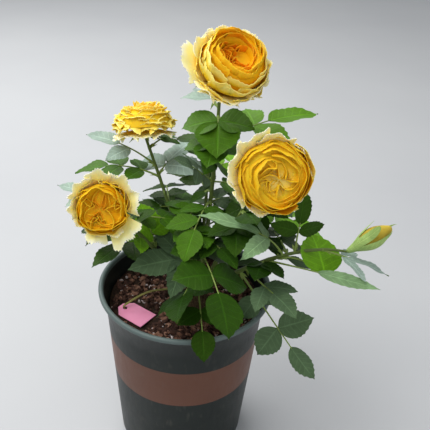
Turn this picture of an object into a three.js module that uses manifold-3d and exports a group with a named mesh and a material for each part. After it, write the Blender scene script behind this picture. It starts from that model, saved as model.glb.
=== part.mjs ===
// A potted rose bush: dark nursery pot, peat, canes in leaf, four open roses and a bud.
// Millimetres, +Z up. The origin is the middle of the pot's underside, and -Y is the front.

import * as THREE from 'three';
import { mergeVertices } from 'three/addons/utils/BufferGeometryUtils.js';
import Module from 'manifold-3d';

const wasm = await Module();
wasm.setup();

const GAP = 0.3;

const POT = {
  height: 185, rim: 85, collar: 77, foot: 65, wall: 2.2, lip: 5, roll: 2, floor: 3, sides: 40,
  heights: [80, 155, 166, 175, 181], collarAt: 155, flare: 1.5,
};
const DRAIN = { count: 8, radius: 5, circle: 50, sides: 8 };
const SOIL = { top: 160, waist: 110, hummock: 2.5, level: 16, rings: 5, sides: 40 };
const CROWN = {
  foot: [11, 2], top: [12, 2, 187], wide: 11, narrow: 10, knob: 0.08, sides: 10,
  waist: [1.1, 0.9, 0.95, 1.15, 0.85],
};
const TAG = { at: [-48, -22], turn: 146, long: 36, wide: 23, thick: 0.8, clip: 8, hole: 2.2, holeIn: 6 };
const TIE = {
  wide: 2.4, thick: 0.7, steps: 16, rise: 5, over: [-38, -4, 173], dip: [-16, 6, 171], end: [-2, 2, 171],
};

// Leaflets shorter than small have the one station of their outline, longer ones both stations.
const LEAF = {
  thick: 0.012, thinnest: 0.4, fold: 0.1, arch: 0.16, root: 0.9, sunk: 1.5,
  small: 36, station: [0.42], stations: [0.3, 0.72],
};
const STALK = { foot: 1.0, tip: 0.7, sides: 3, steps: 3 };
const CANE = { sides: 6, steps: 6 };

// A free leaf stands FREE.turn degrees round the cane from the one below it, give or take
// the scatter; where it is blocked, the detours are tried in turn.
const FREE = {
  turn: 144, scatter: 18, rise: 22, lift: 14, droop: 34, stalk: 46, reach: 8, roll: 14, vary: 0.12,
  leaflets: 5, fan: 62, breadth: 0.66, detours: [0, 24, -24, 48, -48, 80],
};

// Shares of the stalk where the pairs of a leaf sit, and their size against its end leaflet.
const PAIRS = { 1: [], 3: [0.72], 5: [0.34, 0.74] };
const PAIR_SIZES = { 1: [], 3: [0.86], 5: [0.74, 0.92] };

// Each cane leaves the crown at its foot and reaches its tip, its middle pushed aside by bow.
// bare is the share that carries no leaves. A pinned leaf is one that shows from the front:
// its row gives what PINNED names, at being its place on the cane.
// free leaves follow the bush's own spiral from the azimuth start.
const PINNED = ['at', 'azimuth', 'rise', 'droop', 'stalk', 'roll', 'size', 'leaflets', 'fan', 'breadth'];
const CANES = {
  front: {
    foot: [8, -8, 182], tip: [3, -13, 266], bow: [6, 2, 0], thick: [2.6, 1.6], bare: 0.22,
    pinned: [
      [0.78, 290, 7, 27, 78, -22, 42, 5, 82, 0.88],
      [0.45, 208, 29, 22, 20, -30, 48, 3, 62, 0.55],
      [0.26, 260, 6, -6, 45, 34, 43, 3, 56, 0.62],
      [0.34, 279, -2, 26, 74, 0, 28, 3, 62, 0.75],
      [0.98, 91, 22, 43, 32, 4, 33, 5, 62, 0.86],
      [0.9, 292, 21, 9, 14, -6, 30, 5, 62, 0.86],
      [0.74, 131, 17, 51, 25, -18, 33, 5, 62, 0.8],
    ],
    free: { leaves: 2, from: 0.5, to: 0.9, start: 130, blade: 30 },
  },
  bud: {
    foot: [21, -3, 182], tip: [143, -36, 258], bow: [5, -39, 62], thick: [3, 1.4], bare: 0.2,
    pinned: [
      [0.52, 180, 62, 37, 34, 2, 60, 3, 62, 0.3],
      [0.6, 68, 87, 15, 29, 42, 32, 3, 78, 0.5],
      [0.49, -17, 17, 57, 51, 21, 41, 1, -137, 1.1],
      [0.41, -26, 8, 3, 50, 47, 54, 1, 0, 0.2],
      [0.23, 320, -39, -2, 85, 54, 37, 5, 72, 0.75],
      [0.27, 305, -4, -7, 42, 5, 34, 3, 54, 0.6],
      [0.39, 257, 26, 13, 12, -3, 28, 5, 62, 0.8],
      [0.46, 18, 4, 30, 14, 35, 34, 1, 0, 0.26],
      [0.8, -4, -14, 0, 26, -10, 40, 3, 55, 0.35],
    ],
    free: { leaves: 1, from: 0.5, to: 0.6, start: 90, blade: 28 },
  },
  top: {
    foot: [14, 4, 184], tip: [23, 29, 379], bow: [4, -2, 0], thick: [3.2, 1.9], bare: 0.3,
    pinned: [
      [0.74, 27, 23, 16, 56, 0, 54, 3, 74, 0.54],
      [0.87, 271, 6, 26, 13, 3, 38, 3, 80, 1.02],
      [0.75, 262, 20, 21, 15, 0, 33, 3, 62, 0.92],
      [0.9, 116, 26, 26, 21, 4, 33, 3, 64, 0.6],
      [0.55, 217, 45, 4, 32, -24, 24, 5, 66, 0.6],
      [0.66, 260, 29, 18, 12, -26, 29, 3, 62, 0.5],
      [0.5, 153, -7, 36, 14, -9, 28, 5, 56, 0.75],
    ],
    free: { leaves: 2, from: 0.36, to: 0.72, start: 320, blade: 34 },
  },
  left: {
    foot: [3, -3, 184], tip: [-76, -13, 282], bow: [0, -8, 14], thick: [2.9, 1.8], bare: 0.3,
    pinned: [
      [0.4, 119, 61, 23, 23, 0, 28, 5, 62, 0.8],
      [0.51, 219, 45, 19, 12, -4, 30, 3, 62, 0.6],
      [0.91, 158, 27, 19, 25, 0, 34, 3, 62, 0.5],
      [0.72, 309, 44, 30, 26, 28, 22, 5, 62, 0.8],
    ],
    free: { leaves: 2, from: 0.5, to: 0.85, start: 150, blade: 32 },
  },
  right: {
    foot: [18, -6, 183], tip: [65, -40, 336], bow: [4, 18, 12], thick: [3.2, 1.9], bare: 0.32,
    pinned: [
      [0.52, 270, 21, 27, 14, 0, 33, 3, 62, 0.75],
      [0.62, 284, 22, 0, 12, 18, 32, 5, 68, 0.8],
      [0.76, 10, 10, 14, 24, 10, 32, 5, 62, 0.7],
    ],
    free: { leaves: 2, from: 0.5, to: 0.84, start: 60, blade: 34 },
  },
  back: {
    foot: [7, 8, 184], tip: [-45, 44, 322], bow: [-2, 8, 4], thick: [2.8, 1.7], bare: 0.34,
    pinned: [
      [0.71, 61, 40, 24, 18, -17, 54, 3, 87, 0.54],
      [0.78, 169, 37, 22, 41, -8, 34, 3, 64, 0.55],
      [0.9, 60, 20, 30, 24, 0, 24, 3, 62, 0.6],
    ],
    free: { leaves: 2, from: 0.4, to: 0.8, start: 20, blade: 34 },
  },
  rear: {
    foot: [13, 12, 183], tip: [16, 76, 278], bow: [0, 14, 4], thick: [2.8, 1.6], bare: 0.3,
    pinned: [],
    free: { leaves: 6, from: 0.34, to: 0.98, start: 40, blade: 36 },
  },
  rear_right: {
    foot: [19, 6, 183], tip: [64, 54, 280], bow: [6, 2, 4], thick: [2.8, 1.6], bare: 0.3,
    pinned: [],
    free: { leaves: 5, from: 0.34, to: 0.98, start: 10, blade: 36 },
  },
  rear_left: {
    foot: [4, 4, 184], tip: [-46, 62, 238], bow: [-6, -2, 8], thick: [2.6, 1.5], bare: 0.32,
    pinned: [],
    free: { leaves: 5, from: 0.36, to: 0.98, start: 100, blade: 36 },
  },
};

// Each rose faces its azimuth and rise from the tip of its cane.
// wide and deep are the bowl's size, guard the length of its loose outer petals and
// spread how far they lean away from the bowl.
const ROSES = {
  top: { azimuth: -65, rise: 52, wide: 58, deep: 44, guard: 34, spread: 5, petals: 5 },
  right: { azimuth: -85, rise: 22, wide: 54, deep: 38, guard: 31, spread: 2, petals: 5 },
  left: { azimuth: -80, rise: 20, wide: 42, deep: 32, guard: 28, spread: 9, petals: 5 },
  back: { azimuth: 110, rise: 70, wide: 46, deep: 30, guard: 24, spread: 3, petals: 5 },
};
// The bowl's outline, as shares of its radius and of its depth.
const BOWL = [
  [0, 0], [0.35, 0.02], [0.9, 0.32], [1, 0.68], [0.82, 0.96], [0.62, 0.84], [0.36, 0.92], [0, 0.86],
];
const PETAL = { thick: 1.4, sag: 2, sides: 14 };
const HIP = { radius: 4, height: 4, sepal: 0.36, breadth: 0.16, lean: 1.3 };
const SEPALS = 5;
const BUD = { azimuth: 5, rise: 36, long: 52, wide: 19, calyxAt: 8, calyx: 36, breadth: 0.24, lean: 0.12 };

// The bud's outline from its foot: shares of its radius at heights along it.
const BUD_OUTLINE = [
  [0, 0], [0.3, 0], [0.42, 4], [0.36, 7], [0.8, 13], [1, 21], [0.86, 30], [0.42, 39], [0, BUD.long],
];

const UP = new THREE.Vector3(0, 0, 1);
const vec = (p) => new THREE.Vector3(...p);
const rad = THREE.MathUtils.degToRad;

// A repeatable number between -1 and 1 for each pair of keys.
function chance(a, b) {
  const s = Math.sin(a * 12.9898 + b * 78.233) * 43758.5453;
  return 2 * (s - Math.floor(s)) - 1;
}

function heading(azimuth, rise) {
  const level = Math.cos(rad(rise));
  const turn = rad(azimuth);
  return new THREE.Vector3(level * Math.cos(turn), level * Math.sin(turn), Math.sin(rad(rise)));
}

// Side and face of a leaf that runs along a direction, rolled about it.
function leafAxes(along, roll) {
  const side = new THREE.Vector3().crossVectors(along, UP);
  if (side.length() < 1e-3) side.set(1, 0, 0);
  side.normalize();
  const face = new THREE.Vector3().crossVectors(side, along);
  side.applyAxisAngle(along, rad(roll));
  face.applyAxisAngle(along, rad(roll));
  return [side, face];
}

function toSolid(geometry) {
  const bare = geometry.clone();
  bare.deleteAttribute('normal');
  bare.deleteAttribute('uv');
  const merged = mergeVertices(bare, 1e-4);
  const mesh = new wasm.Mesh({
    numProp: 3,
    vertProperties: new Float32Array(merged.attributes.position.array),
    triVerts: new Uint32Array(merged.index.array),
  });
  return new wasm.Manifold(mesh);
}

function toGeometry(solid) {
  const mesh = solid.getMesh();
  const geometry = new THREE.BufferGeometry();
  geometry.setAttribute('position', new THREE.BufferAttribute(new Float32Array(mesh.vertProperties), 3));
  geometry.setIndex(Array.from(mesh.triVerts));
  geometry.computeVertexNormals();
  return geometry;
}

// Closed skin over rings of equal count, each running anticlockwise about the way it travels.
// With a tip, the last ring is drawn together in that point.
function loft(rings, tip) {
  const sides = rings[0].length;
  const points = tip ? [...rings.flat(), tip] : rings.flat();
  const last = (rings.length - 1) * sides;
  const faces = [];
  for (let i = 0; i + 1 < rings.length; i++) {
    for (let j = 0; j < sides; j++) {
      const a = i * sides + j;
      const b = i * sides + (j + 1) % sides;
      faces.push(a, b, b + sides, a, b + sides, a + sides);
    }
  }
  for (let j = 1; j + 1 < sides; j++) {
    faces.push(0, j + 1, j);
    if (!tip) faces.push(last, last + j, last + j + 1);
  }
  for (let j = 0; tip && j < sides; j++) {
    faces.push(last + j, last + (j + 1) % sides, points.length - 1);
  }
  const places = points.flatMap((p) => p.toArray());
  const geometry = new THREE.BufferGeometry();
  geometry.setAttribute('position', new THREE.Float32BufferAttribute(places, 3));
  geometry.setIndex(faces);
  return toSolid(geometry);
}

// A tapering limb along the part of a curve between two shares of its length.
function limb(curve, from, to, thick, sides, steps, grow = 0) {
  const rings = [];
  for (let i = 0; i <= steps; i++) {
    const t = from + (to - from) * i / steps;
    const along = curve.getTangent(t);
    const [side, face] = leafAxes(along, 0);
    const radius = thick[0] + (thick[1] - thick[0]) * t + grow;
    rings.push(Array.from({ length: sides }, (_, j) => {
      const angle = 2 * Math.PI * j / sides;
      return curve.getPoint(t).addScaledVector(face, radius * Math.cos(angle))
        .addScaledVector(side, radius * Math.sin(angle));
    }));
  }
  return loft(rings);
}

function caneCurve(cane) {
  const middle = vec(cane.foot).add(vec(cane.tip)).multiplyScalar(0.5).add(vec(cane.bow));
  return new THREE.QuadraticBezierCurve3(vec(cane.foot), middle, vec(cane.tip));
}

function stalkCurve(start, azimuth, rise, droop, length) {
  const middle = start.clone().addScaledVector(heading(azimuth, rise), length / 2);
  const end = middle.clone().addScaledVector(heading(azimuth, rise - droop), length / 2);
  return new THREE.QuadraticBezierCurve3(start, middle, end);
}

// Half the breadth of a blade at a share of its length.
function halfBreadth(share, length, breadth) {
  return 0.5 * breadth * length * Math.pow(Math.sin(Math.PI * Math.pow(share, 0.8)), 0.75);
}

// One leaflet: a thin lens folded along its midrib and arched towards its tip.
function blade(base, along, side, face, length, breadth, grow = 0) {
  const ring = (share) => {
    const half = (share === 0 ? LEAF.root : halfBreadth(share, length, breadth)) + grow;
    const thick = Math.max(LEAF.thick * length, LEAF.thinnest) / 2 + grow;
    const spine = base.clone().addScaledVector(along, length * share)
      .addScaledVector(face, -LEAF.arch * length * share * share);
    const lift = LEAF.fold * half;
    return [
      spine.clone().addScaledVector(side, half).addScaledVector(face, lift + thick),
      spine.clone().addScaledVector(face, -thick),
      spine.clone().addScaledVector(side, -half).addScaledVector(face, lift + thick),
    ];
  };
  const stations = length > LEAF.small ? LEAF.stations : LEAF.station;
  const rings = [0, ...stations].map(ring);
  const tip = base.clone().addScaledVector(along, length + grow)
    .addScaledVector(face, -LEAF.arch * length);
  return loft(rings, tip);
}

// The leaves of a cane: the pinned ones, then those of the free spiral.
function leafPlan(name) {
  const cane = CANES[name];
  const key = Object.keys(CANES).indexOf(name);
  const pinned = cane.pinned.map((row) => Object.fromEntries(PINNED.map((word, k) => [word, row[k]])));
  const { leaves, from, to, start, blade: size } = cane.free;
  const free = Array.from({ length: leaves }, (_, k) => ({
    at: from + (to - from) * (k + 0.5) / leaves,
    azimuth: start + FREE.turn * k + FREE.scatter * chance(key, k),
    rise: FREE.rise + FREE.lift * chance(key, k + 20),
    stalk: FREE.stalk + FREE.reach * chance(key, k + 40),
    roll: FREE.roll * chance(key, k + 60),
    size: size * (1 + FREE.vary * chance(key, k + 80)),
    droop: FREE.droop,
    leaflets: FREE.leaflets,
    fan: FREE.fan,
    breadth: FREE.breadth,
  }));
  return { pinned, free };
}

function turned(along, side, angle) {
  return along.clone().multiplyScalar(Math.cos(rad(angle))).addScaledVector(side, Math.sin(rad(angle)));
}

// The leaflets of one leaf: pairs fanned out along its stalk and one at the end.
// A lone leaflet is turned aside by the fan itself.
function leaflets(stalk, leaf) {
  const found = [];
  PAIRS[leaf.leaflets].forEach((share, k) => {
    const along = stalk.getTangent(share);
    const [side, face] = leafAxes(along, leaf.roll);
    for (const hand of [1, -1]) {
      const size = leaf.size * PAIR_SIZES[leaf.leaflets][k];
      found.push({ base: stalk.getPoint(share), along: turned(along, side, hand * leaf.fan), face, size });
    }
  });
  const along = stalk.getTangent(1);
  const [side, face] = leafAxes(along, leaf.roll);
  const base = stalk.getPoint(1).addScaledVector(along, -LEAF.sunk);
  const aside = leaf.leaflets === 1 ? leaf.fan : 0;
  found.push({ base, along: turned(along, side, aside), face, size: leaf.size });
  return found;
}

// Every piece laid so far, with the node and the leaf that it belongs to.
const laid = [];

function lay(owner, leaf, solid) {
  laid.push({ owner, leaf, solid, bounds: solid.boundingBox() });
  return solid;
}

// A piece is blocked by another node within the gap, or by another leaf of its own node.
function blocked(owner, leaf, solid, feeler) {
  const box = feeler.boundingBox();
  return laid.some((other) => {
    if (other.owner === owner && (other.leaf === leaf || other.leaf === 'stem')) return false;
    const { min, max } = other.bounds;
    if ([0, 1, 2].some((k) => box.min[k] > max[k] || box.max[k] < min[k])) return false;
    const probe = other.owner === owner ? solid : feeler;
    return wasm.Manifold.intersection(other.solid, probe).volume() > 1e-6;
  });
}

function largestPiece(solid) {
  return solid.decompose().reduce((best, piece) => (piece.volume() > best.volume() ? piece : best));
}

function named(name, solid, color, roughness) {
  const material = new THREE.MeshStandardMaterial({ color, roughness, metalness: 0 });
  const mesh = new THREE.Mesh(toGeometry(solid), material);
  mesh.name = name;
  return mesh;
}

function lathe(profile, sides) {
  const geometry = new THREE.LatheGeometry(profile.map(([r, z]) => new THREE.Vector2(r, z)), sides);
  geometry.rotateX(Math.PI / 2);
  return geometry;
}

// The pot's outside radius: a straight draft up to the collar, then a flare to the rim.
function potRadius(z) {
  const { collarAt } = POT;
  if (z <= collarAt) return POT.foot + (POT.collar - POT.foot) * z / collarAt;
  const share = (z - collarAt) / (POT.height - collarAt);
  return POT.collar + (POT.rim - POT.collar) * Math.pow(share, POT.flare);
}

function pot() {
  const { heights, rim, height, lip, roll, floor } = POT;
  const outside = heights.map((z) => [potRadius(z), z]);
  const inside = heights.slice(0, -1).reverse().map((z) => [potRadius(z) - POT.wall, z]);
  const profile = [
    [0, 0], [POT.foot, 0], ...outside,
    [rim, height - roll], [rim - roll / 2, height], [rim - lip, height], [rim - lip, heights.at(-1)],
    ...inside, [potRadius(floor) - POT.wall, floor], [0, floor],
  ];
  let solid = toSolid(lathe(profile, POT.sides));
  for (let k = 0; k < DRAIN.count; k++) {
    const turn = 2 * Math.PI * k / DRAIN.count;
    const hole = new THREE.CylinderGeometry(DRAIN.radius, DRAIN.radius, 4 * POT.floor, DRAIN.sides);
    hole.rotateX(Math.PI / 2);
    hole.translate(DRAIN.circle * Math.cos(turn), DRAIN.circle * Math.sin(turn), 0);
    solid = solid.subtract(toSolid(hole));
  }
  return solid;
}

// Peat fills the pot, with low hummocks and a level patch round the crown.
function soil() {
  const wallAt = (z) => potRadius(z) - POT.wall - GAP;
  const low = POT.floor + GAP;
  const edge = wallAt(SOIL.top);
  const profile = [[0, low], [wallAt(low), low], [wallAt(SOIL.waist), SOIL.waist], [edge, SOIL.top]];
  for (let k = SOIL.rings - 1; k > 0; k--) profile.push([edge * k / SOIL.rings, SOIL.top]);
  profile.push([0, SOIL.top]);
  const geometry = lathe(profile, SOIL.sides);
  const point = geometry.attributes.position;
  for (let i = 0; i < point.count; i++) {
    const x = point.getX(i);
    const y = point.getY(i);
    const away = Math.hypot(x - CROWN.foot[0], y - CROWN.foot[1]);
    const isTop = point.getZ(i) > SOIL.top - 1 && Math.hypot(x, y) < edge - 1;
    const wave = Math.sin(x / 7 + 1) * Math.cos(y / 9) + Math.sin((x + y) / 5);
    if (isTop && away > SOIL.level) point.setZ(i, SOIL.top + SOIL.hummock * (wave / 4 - 0.5));
  }
  return toSolid(geometry);
}

// The tag lies on the peat: a plate with its two corners clipped at the holed end.
function tag() {
  const { long, wide, clip, hole, holeIn } = TAG;
  const outline = new THREE.Shape([
    [0, -wide / 2], [long - clip, -wide / 2], [long, clip - wide / 2],
    [long, wide / 2 - clip], [long - clip, wide / 2], [0, wide / 2],
  ].map(([x, y]) => new THREE.Vector2(x - long / 2, y)));
  outline.holes.push(new THREE.Path().absarc(long / 2 - holeIn, 0, hole, 0, 2 * Math.PI, true));
  const options = { depth: TAG.thick, bevelEnabled: false, curveSegments: 5 };
  const geometry = new THREE.ExtrudeGeometry(outline, options);
  geometry.rotateZ(rad(TAG.turn));
  geometry.translate(...TAG.at, SOIL.top + GAP);
  return toSolid(geometry);
}

// A flat tie that comes up out of the tag's hole and runs to the crown.
function tagTie() {
  const turn = rad(TAG.turn);
  const away = TAG.long / 2 - TAG.holeIn;
  const eye = [TAG.at[0] + away * Math.cos(turn), TAG.at[1] + away * Math.sin(turn)];
  const route = new THREE.CatmullRomCurve3([
    new THREE.Vector3(...eye, SOIL.top + 2 * GAP), new THREE.Vector3(...eye, SOIL.top + TIE.rise),
    vec(TIE.over), vec(TIE.dip), vec(TIE.end),
  ]);
  const section = new THREE.Shape([
    [-TIE.thick, -TIE.wide], [TIE.thick, -TIE.wide], [TIE.thick, TIE.wide], [-TIE.thick, TIE.wide],
  ].map(([x, y]) => new THREE.Vector2(x / 2, y / 2)));
  return toSolid(new THREE.ExtrudeGeometry(section, { steps: TIE.steps, extrudePath: route }));
}

// The knobbly crown that all canes leave from, cut flat where it stands in the peat.
function crown(grow = 0) {
  const [x, y] = CROWN.foot;
  const foot = new THREE.Vector3(x, y, SOIL.top + GAP);
  const curve = new THREE.LineCurve3(foot, vec(CROWN.top));
  const rings = CROWN.waist.map((swell, i) => {
    const t = i / (CROWN.waist.length - 1);
    const radius = (CROWN.wide + (CROWN.narrow - CROWN.wide) * t) * swell + grow;
    return Array.from({ length: CROWN.sides }, (_, j) => {
      const angle = 2 * Math.PI * j / CROWN.sides;
      const reach = radius * (1 + CROWN.knob * Math.sin(3 * angle + i));
      return curve.getPoint(t).add(new THREE.Vector3(reach * Math.cos(angle), reach * Math.sin(angle), 0));
    });
  });
  rings[rings.length - 1].forEach((p) => { p.z += grow; });
  return loft(rings);
}

// Turns a shape that stands on +Z to face a heading, and moves its foot to a point.
function stand(geometry, foot, axis) {
  const turn = new THREE.Quaternion().setFromUnitVectors(UP, axis);
  geometry.applyQuaternion(turn);
  geometry.translate(foot.x, foot.y, foot.z);
  return geometry;
}

// A thick guard petal: rooted inside the bowl, it comes out of its side and stands round it.
function petal(rose, turn, spread) {
  const r = rose.wide / 2;
  const rows = [
    { out: 0.55 * r, up: 0.3 * rose.deep, half: 0.5 },
    { out: r + 1.5 + 0.4 * spread, up: 0.5 * rose.deep, half: 0.62 },
    { out: r + spread, up: rose.guard, half: 0.42 },
  ];
  const rings = rows.map(({ out, up, half }) => {
    const skin = (offset) => [-1, 0, 1].map((share) => {
      const angle = turn + share * half;
      const radius = out + offset;
      const level = up - PETAL.sag * share * share;
      return new THREE.Vector3(radius * Math.cos(angle), radius * Math.sin(angle), level);
    });
    return [...skin(PETAL.thick / 2), ...skin(-PETAL.thick / 2).reverse()];
  });
  return loft(rings);
}

// An open rose: a bowl with a domed heart, and loose guard petals round it.
function roseSolid(name) {
  const rose = ROSES[name];
  const r = rose.wide / 2;
  const bowl = BOWL.map(([out, up]) => [out * r, up * rose.deep]);
  let solid = toSolid(lathe(bowl, PETAL.sides));
  for (let k = 0; k < rose.petals; k++) {
    const turn = 2 * Math.PI * k / rose.petals + 0.4 * chance(k, rose.wide);
    solid = solid.add(petal(rose, turn, rose.spread * (1 + 0.4 * chance(k, rose.guard))));
  }
  const axis = heading(rose.azimuth, rose.rise);
  const foot = vec(CANES[name].tip).addScaledVector(axis, HIP.height + GAP);
  return toSolid(stand(toGeometry(solid), foot, axis));
}

// Five narrow sepals round an axis, each leaning out by a share of its length.
function sepals(foot, axis, ring, length, breadth, lean) {
  const [side, face] = leafAxes(axis, 0);
  return Array.from({ length: SEPALS }, (_, k) => {
    const turn = 2 * Math.PI * (k + 0.25) / SEPALS;
    const out = side.clone().multiplyScalar(Math.cos(turn)).addScaledVector(face, Math.sin(turn));
    const base = foot.clone().addScaledVector(out, ring);
    const along = axis.clone().multiplyScalar(1 - lean).addScaledVector(out, lean).normalize();
    const inward = out.addScaledVector(axis, lean);
    const across = new THREE.Vector3().crossVectors(along, inward).normalize();
    const lifted = new THREE.Vector3().crossVectors(across, along);
    return blade(base, along, across, lifted, length, breadth);
  });
}

// The swollen hip under a rose, with its sepals bent back.
function hip(name) {
  const rose = ROSES[name];
  const axis = heading(rose.azimuth, rose.rise);
  const tip = vec(CANES[name].tip);
  const { radius, height } = HIP;
  const profile = [[0, -1], [0.5 * radius, -1], [radius, 2], [0.8 * radius, height], [0, height]];
  const body = toSolid(stand(lathe(profile, 8), tip, axis));
  const foot = tip.clone().addScaledVector(axis, 1);
  const bent = sepals(foot, axis, 0.4 * radius, HIP.sepal * rose.wide, HIP.breadth, HIP.lean);
  return wasm.Manifold.union([body, ...bent]);
}

// A closed bud with its sepals folded up round it, hollowed at the foot for the cane's tip.
function budSolid() {
  const curve = caneCurve(CANES.bud);
  const axis = heading(BUD.azimuth, BUD.rise);
  const r = BUD.wide / 2;
  const profile = BUD_OUTLINE.map(([out, up]) => [out * r, up]);
  const foot = vec(CANES.bud.tip).addScaledVector(axis, GAP);
  const body = toSolid(stand(lathe(profile, 12), foot, axis));
  const calyxFoot = foot.clone().addScaledVector(axis, BUD.calyxAt);
  const calyx = sepals(calyxFoot, axis, 0.5 * r, BUD.calyx, BUD.breadth, BUD.lean);
  const stem = limb(curve, 0.8, 1, CANES.bud.thick, CANE.sides, CANE.steps, GAP);
  return largestPiece(wasm.Manifold.union([body, ...calyx]).subtract(stem));
}

// The leafy stretch of a cane's stem, with the hip under its rose.
function leafyStem(name) {
  const cane = CANES[name];
  const curve = caneCurve(cane);
  const solid = limb(curve, cane.bare + GAP / curve.getLength(), 1, cane.thick, CANE.sides, CANE.steps);
  return ROSES[name] ? solid.add(hip(name)) : solid;
}

// One leaf as a list of solids, or nothing where its stalk is blocked.
function growLeaf(name, key, leaf) {
  const curve = caneCurve(CANES[name]);
  const base = curve.getPoint(Math.max(leaf.at, CANES[name].bare + 0.03));
  const stalk = stalkCurve(base, leaf.azimuth, leaf.rise, leaf.droop, leaf.stalk);
  const rod = (grow) => limb(stalk, 0, 1, [STALK.foot, STALK.tip], STALK.sides, STALK.steps, grow);
  const parts = [rod(0)];
  if (blocked(name, key, parts[0], rod(GAP))) return [];
  for (const { base: root, along, face, size } of leaflets(stalk, leaf)) {
    const side = new THREE.Vector3().crossVectors(along, face);
    const cut = (grow) => blade(root, along, side, face, size, leaf.breadth, grow);
    const solid = cut(0);
    if (!blocked(name, key, solid, cut(GAP))) parts.push(solid);
  }
  return parts.length > 1 ? parts : [];
}

// A free leaf that is blocked is turned on round its cane until most of it finds room.
function growFreeLeaf(name, key, leaf) {
  let best = [];
  for (const turn of FREE.detours) {
    const parts = growLeaf(name, key, { ...leaf, azimuth: leaf.azimuth + turn });
    if (parts.length > best.length) best = parts;
  }
  return best;
}

const group = new THREE.Group();
const canopy = Object.keys(CANES);

group.add(named('pot', lay('pot', 'stem', pot()), 0x1f2b26, 0.55));
group.add(named('soil', lay('soil', 'stem', soil()), 0x33241d, 0.95));
group.add(named('main_stem', lay('main_stem', 'stem', crown()), 0x5a4a35, 0.85));
group.add(named('tag', lay('tag', 'stem', tag()), 0xf07fa8, 0.6));
group.add(named('tag_tie', lay('tag_tie', 'stem', tagTie()), 0x8d8a3c, 0.8));

canopy.forEach((name, index) => {
  const bough = (other, grow) => limb(
    caneCurve(CANES[other]), 0, CANES[other].bare, CANES[other].thick, CANE.sides, CANE.steps / 2, grow);
  let solid = bough(name, 0).subtract(crown(GAP));
  for (const other of canopy.slice(0, index)) solid = solid.subtract(bough(other, GAP));
  group.add(named(`cane_${name}`, lay(`cane_${name}`, 'stem', largestPiece(solid)), 0x4c5a2c, 0.6));
});

Object.keys(ROSES).forEach((name) => {
  group.add(named(`rose_${name}`, lay(`rose_${name}`, 'stem', roseSolid(name)), 0xf2c21c, 0.5));
});
group.add(named('rose_bud', lay('rose_bud', 'stem', budSolid()), 0x8fa03a, 0.5));

// The stems come first, then the pinned leaves of every cane, then the free ones.
const masses = {};
for (const name of canopy) masses[name] = [lay(name, 'stem', leafyStem(name))];
for (const [kind, grow] of [['pinned', growLeaf], ['free', growFreeLeaf]]) {
  for (const name of canopy) {
    leafPlan(name)[kind].forEach((leaf, k) => {
      const key = `${kind} ${k}`;
      for (const solid of grow(name, key, leaf)) masses[name].push(lay(name, key, solid));
    });
  }
}
for (const name of canopy) {
  group.add(named(`leaves_${name}`, largestPiece(wasm.Manifold.union(masses[name])), 0x3f6a22, 0.5));
}

export default group;
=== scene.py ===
"""A potted rose bush in bloom: nursery pot, peat, green canes in leaf, four open roses and a bud.

Shapes are worked out in millimetres as numpy grids and handed to Blender in metres.
+Z is up, the front is -Y and the origin is the middle of the pot's underside.
"""
from math import radians

import bmesh
import bpy
import numpy as np
from mathutils import Matrix, Vector
from mathutils.bvhtree import BVHTree


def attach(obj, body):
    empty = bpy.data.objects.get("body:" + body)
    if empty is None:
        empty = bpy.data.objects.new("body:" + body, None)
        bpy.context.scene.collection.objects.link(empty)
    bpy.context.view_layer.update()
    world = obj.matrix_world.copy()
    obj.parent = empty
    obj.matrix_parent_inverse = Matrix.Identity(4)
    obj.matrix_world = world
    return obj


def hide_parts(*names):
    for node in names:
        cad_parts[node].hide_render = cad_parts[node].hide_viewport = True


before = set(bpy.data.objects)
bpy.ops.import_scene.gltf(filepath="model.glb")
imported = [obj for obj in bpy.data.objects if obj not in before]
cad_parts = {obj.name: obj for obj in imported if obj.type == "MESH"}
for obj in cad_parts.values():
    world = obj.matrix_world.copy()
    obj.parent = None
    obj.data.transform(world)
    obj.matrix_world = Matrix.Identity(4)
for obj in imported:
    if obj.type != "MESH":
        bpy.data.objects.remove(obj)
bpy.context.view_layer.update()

UP = np.array([0.0, 0.0, 1.0])
MM = 0.001

# The photograph's view, in metres and degrees: 32 degrees down, rolled a little, with a 57 mm lens.
EYE = (0.025, -0.532, 0.598)
LOOK_DOWN, ROLL, LENS = 32.0, 3.4, 56.93

# Sizes from here on are in millimetres and angles in degrees. The pot's foot has a small bevel, and
# its lip ends in a bead that is twice bead_rise tall.
POT = dict(height=185, rim=85, collar=77, foot=65, wall=2.2, lip=5, floor=3, collar_at=155, flare=1.5,
           bevel=1.5, bead_rise=2.6, sides=128)
DRAIN = dict(count=8, radius=5, circle=50)
BAND = dict(low=90, high=136)
SOIL = dict(top=160, gap=0.3, dip=2.5, crumb=0.35, lower=0.3, bank=6, sides=96)
# Where the peat's dip sets in away from the crown, where its bank at the wall begins and is full
# away from the pot's middle, and the same away from the tag.
DIP_AWAY, BANK_OUT, BANK_OFF_TAG = (9, 17), (62, 74), (24, 34)
# Grains on the peat: how many are tried for, seed, radius from and to, flatness from and to.
GRAINS = {
    "light bark": (380, 11, (1.6, 4.6), (0.3, 0.55)),
    "dark bark": (760, 12, (1.4, 4.2), (0.35, 0.7)),
    "perlite": (190, 13, (0.7, 2.0), (0.7, 1.0)),
}
CROWN = dict(foot=(11, 2), top=(12, 2, 187), wide=11, narrow=10, waist=(1.1, 0.9, 0.95, 1.15, 0.85),
             knob=0.08, ridge=0.05, rows=26, sides=56)
TAG = dict(at=(-48, -22), turn=146, long=36, wide=23, thick=0.8, clip=8, hole=2.2, hole_in=6, round=0.25,
           bow=0.0016)
TIE = dict(wide=2.4, thick=0.7, rise=5, over=(-38, -4, 173), dip=(-16, 6, 171), end=(-2, 2, 171))

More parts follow.
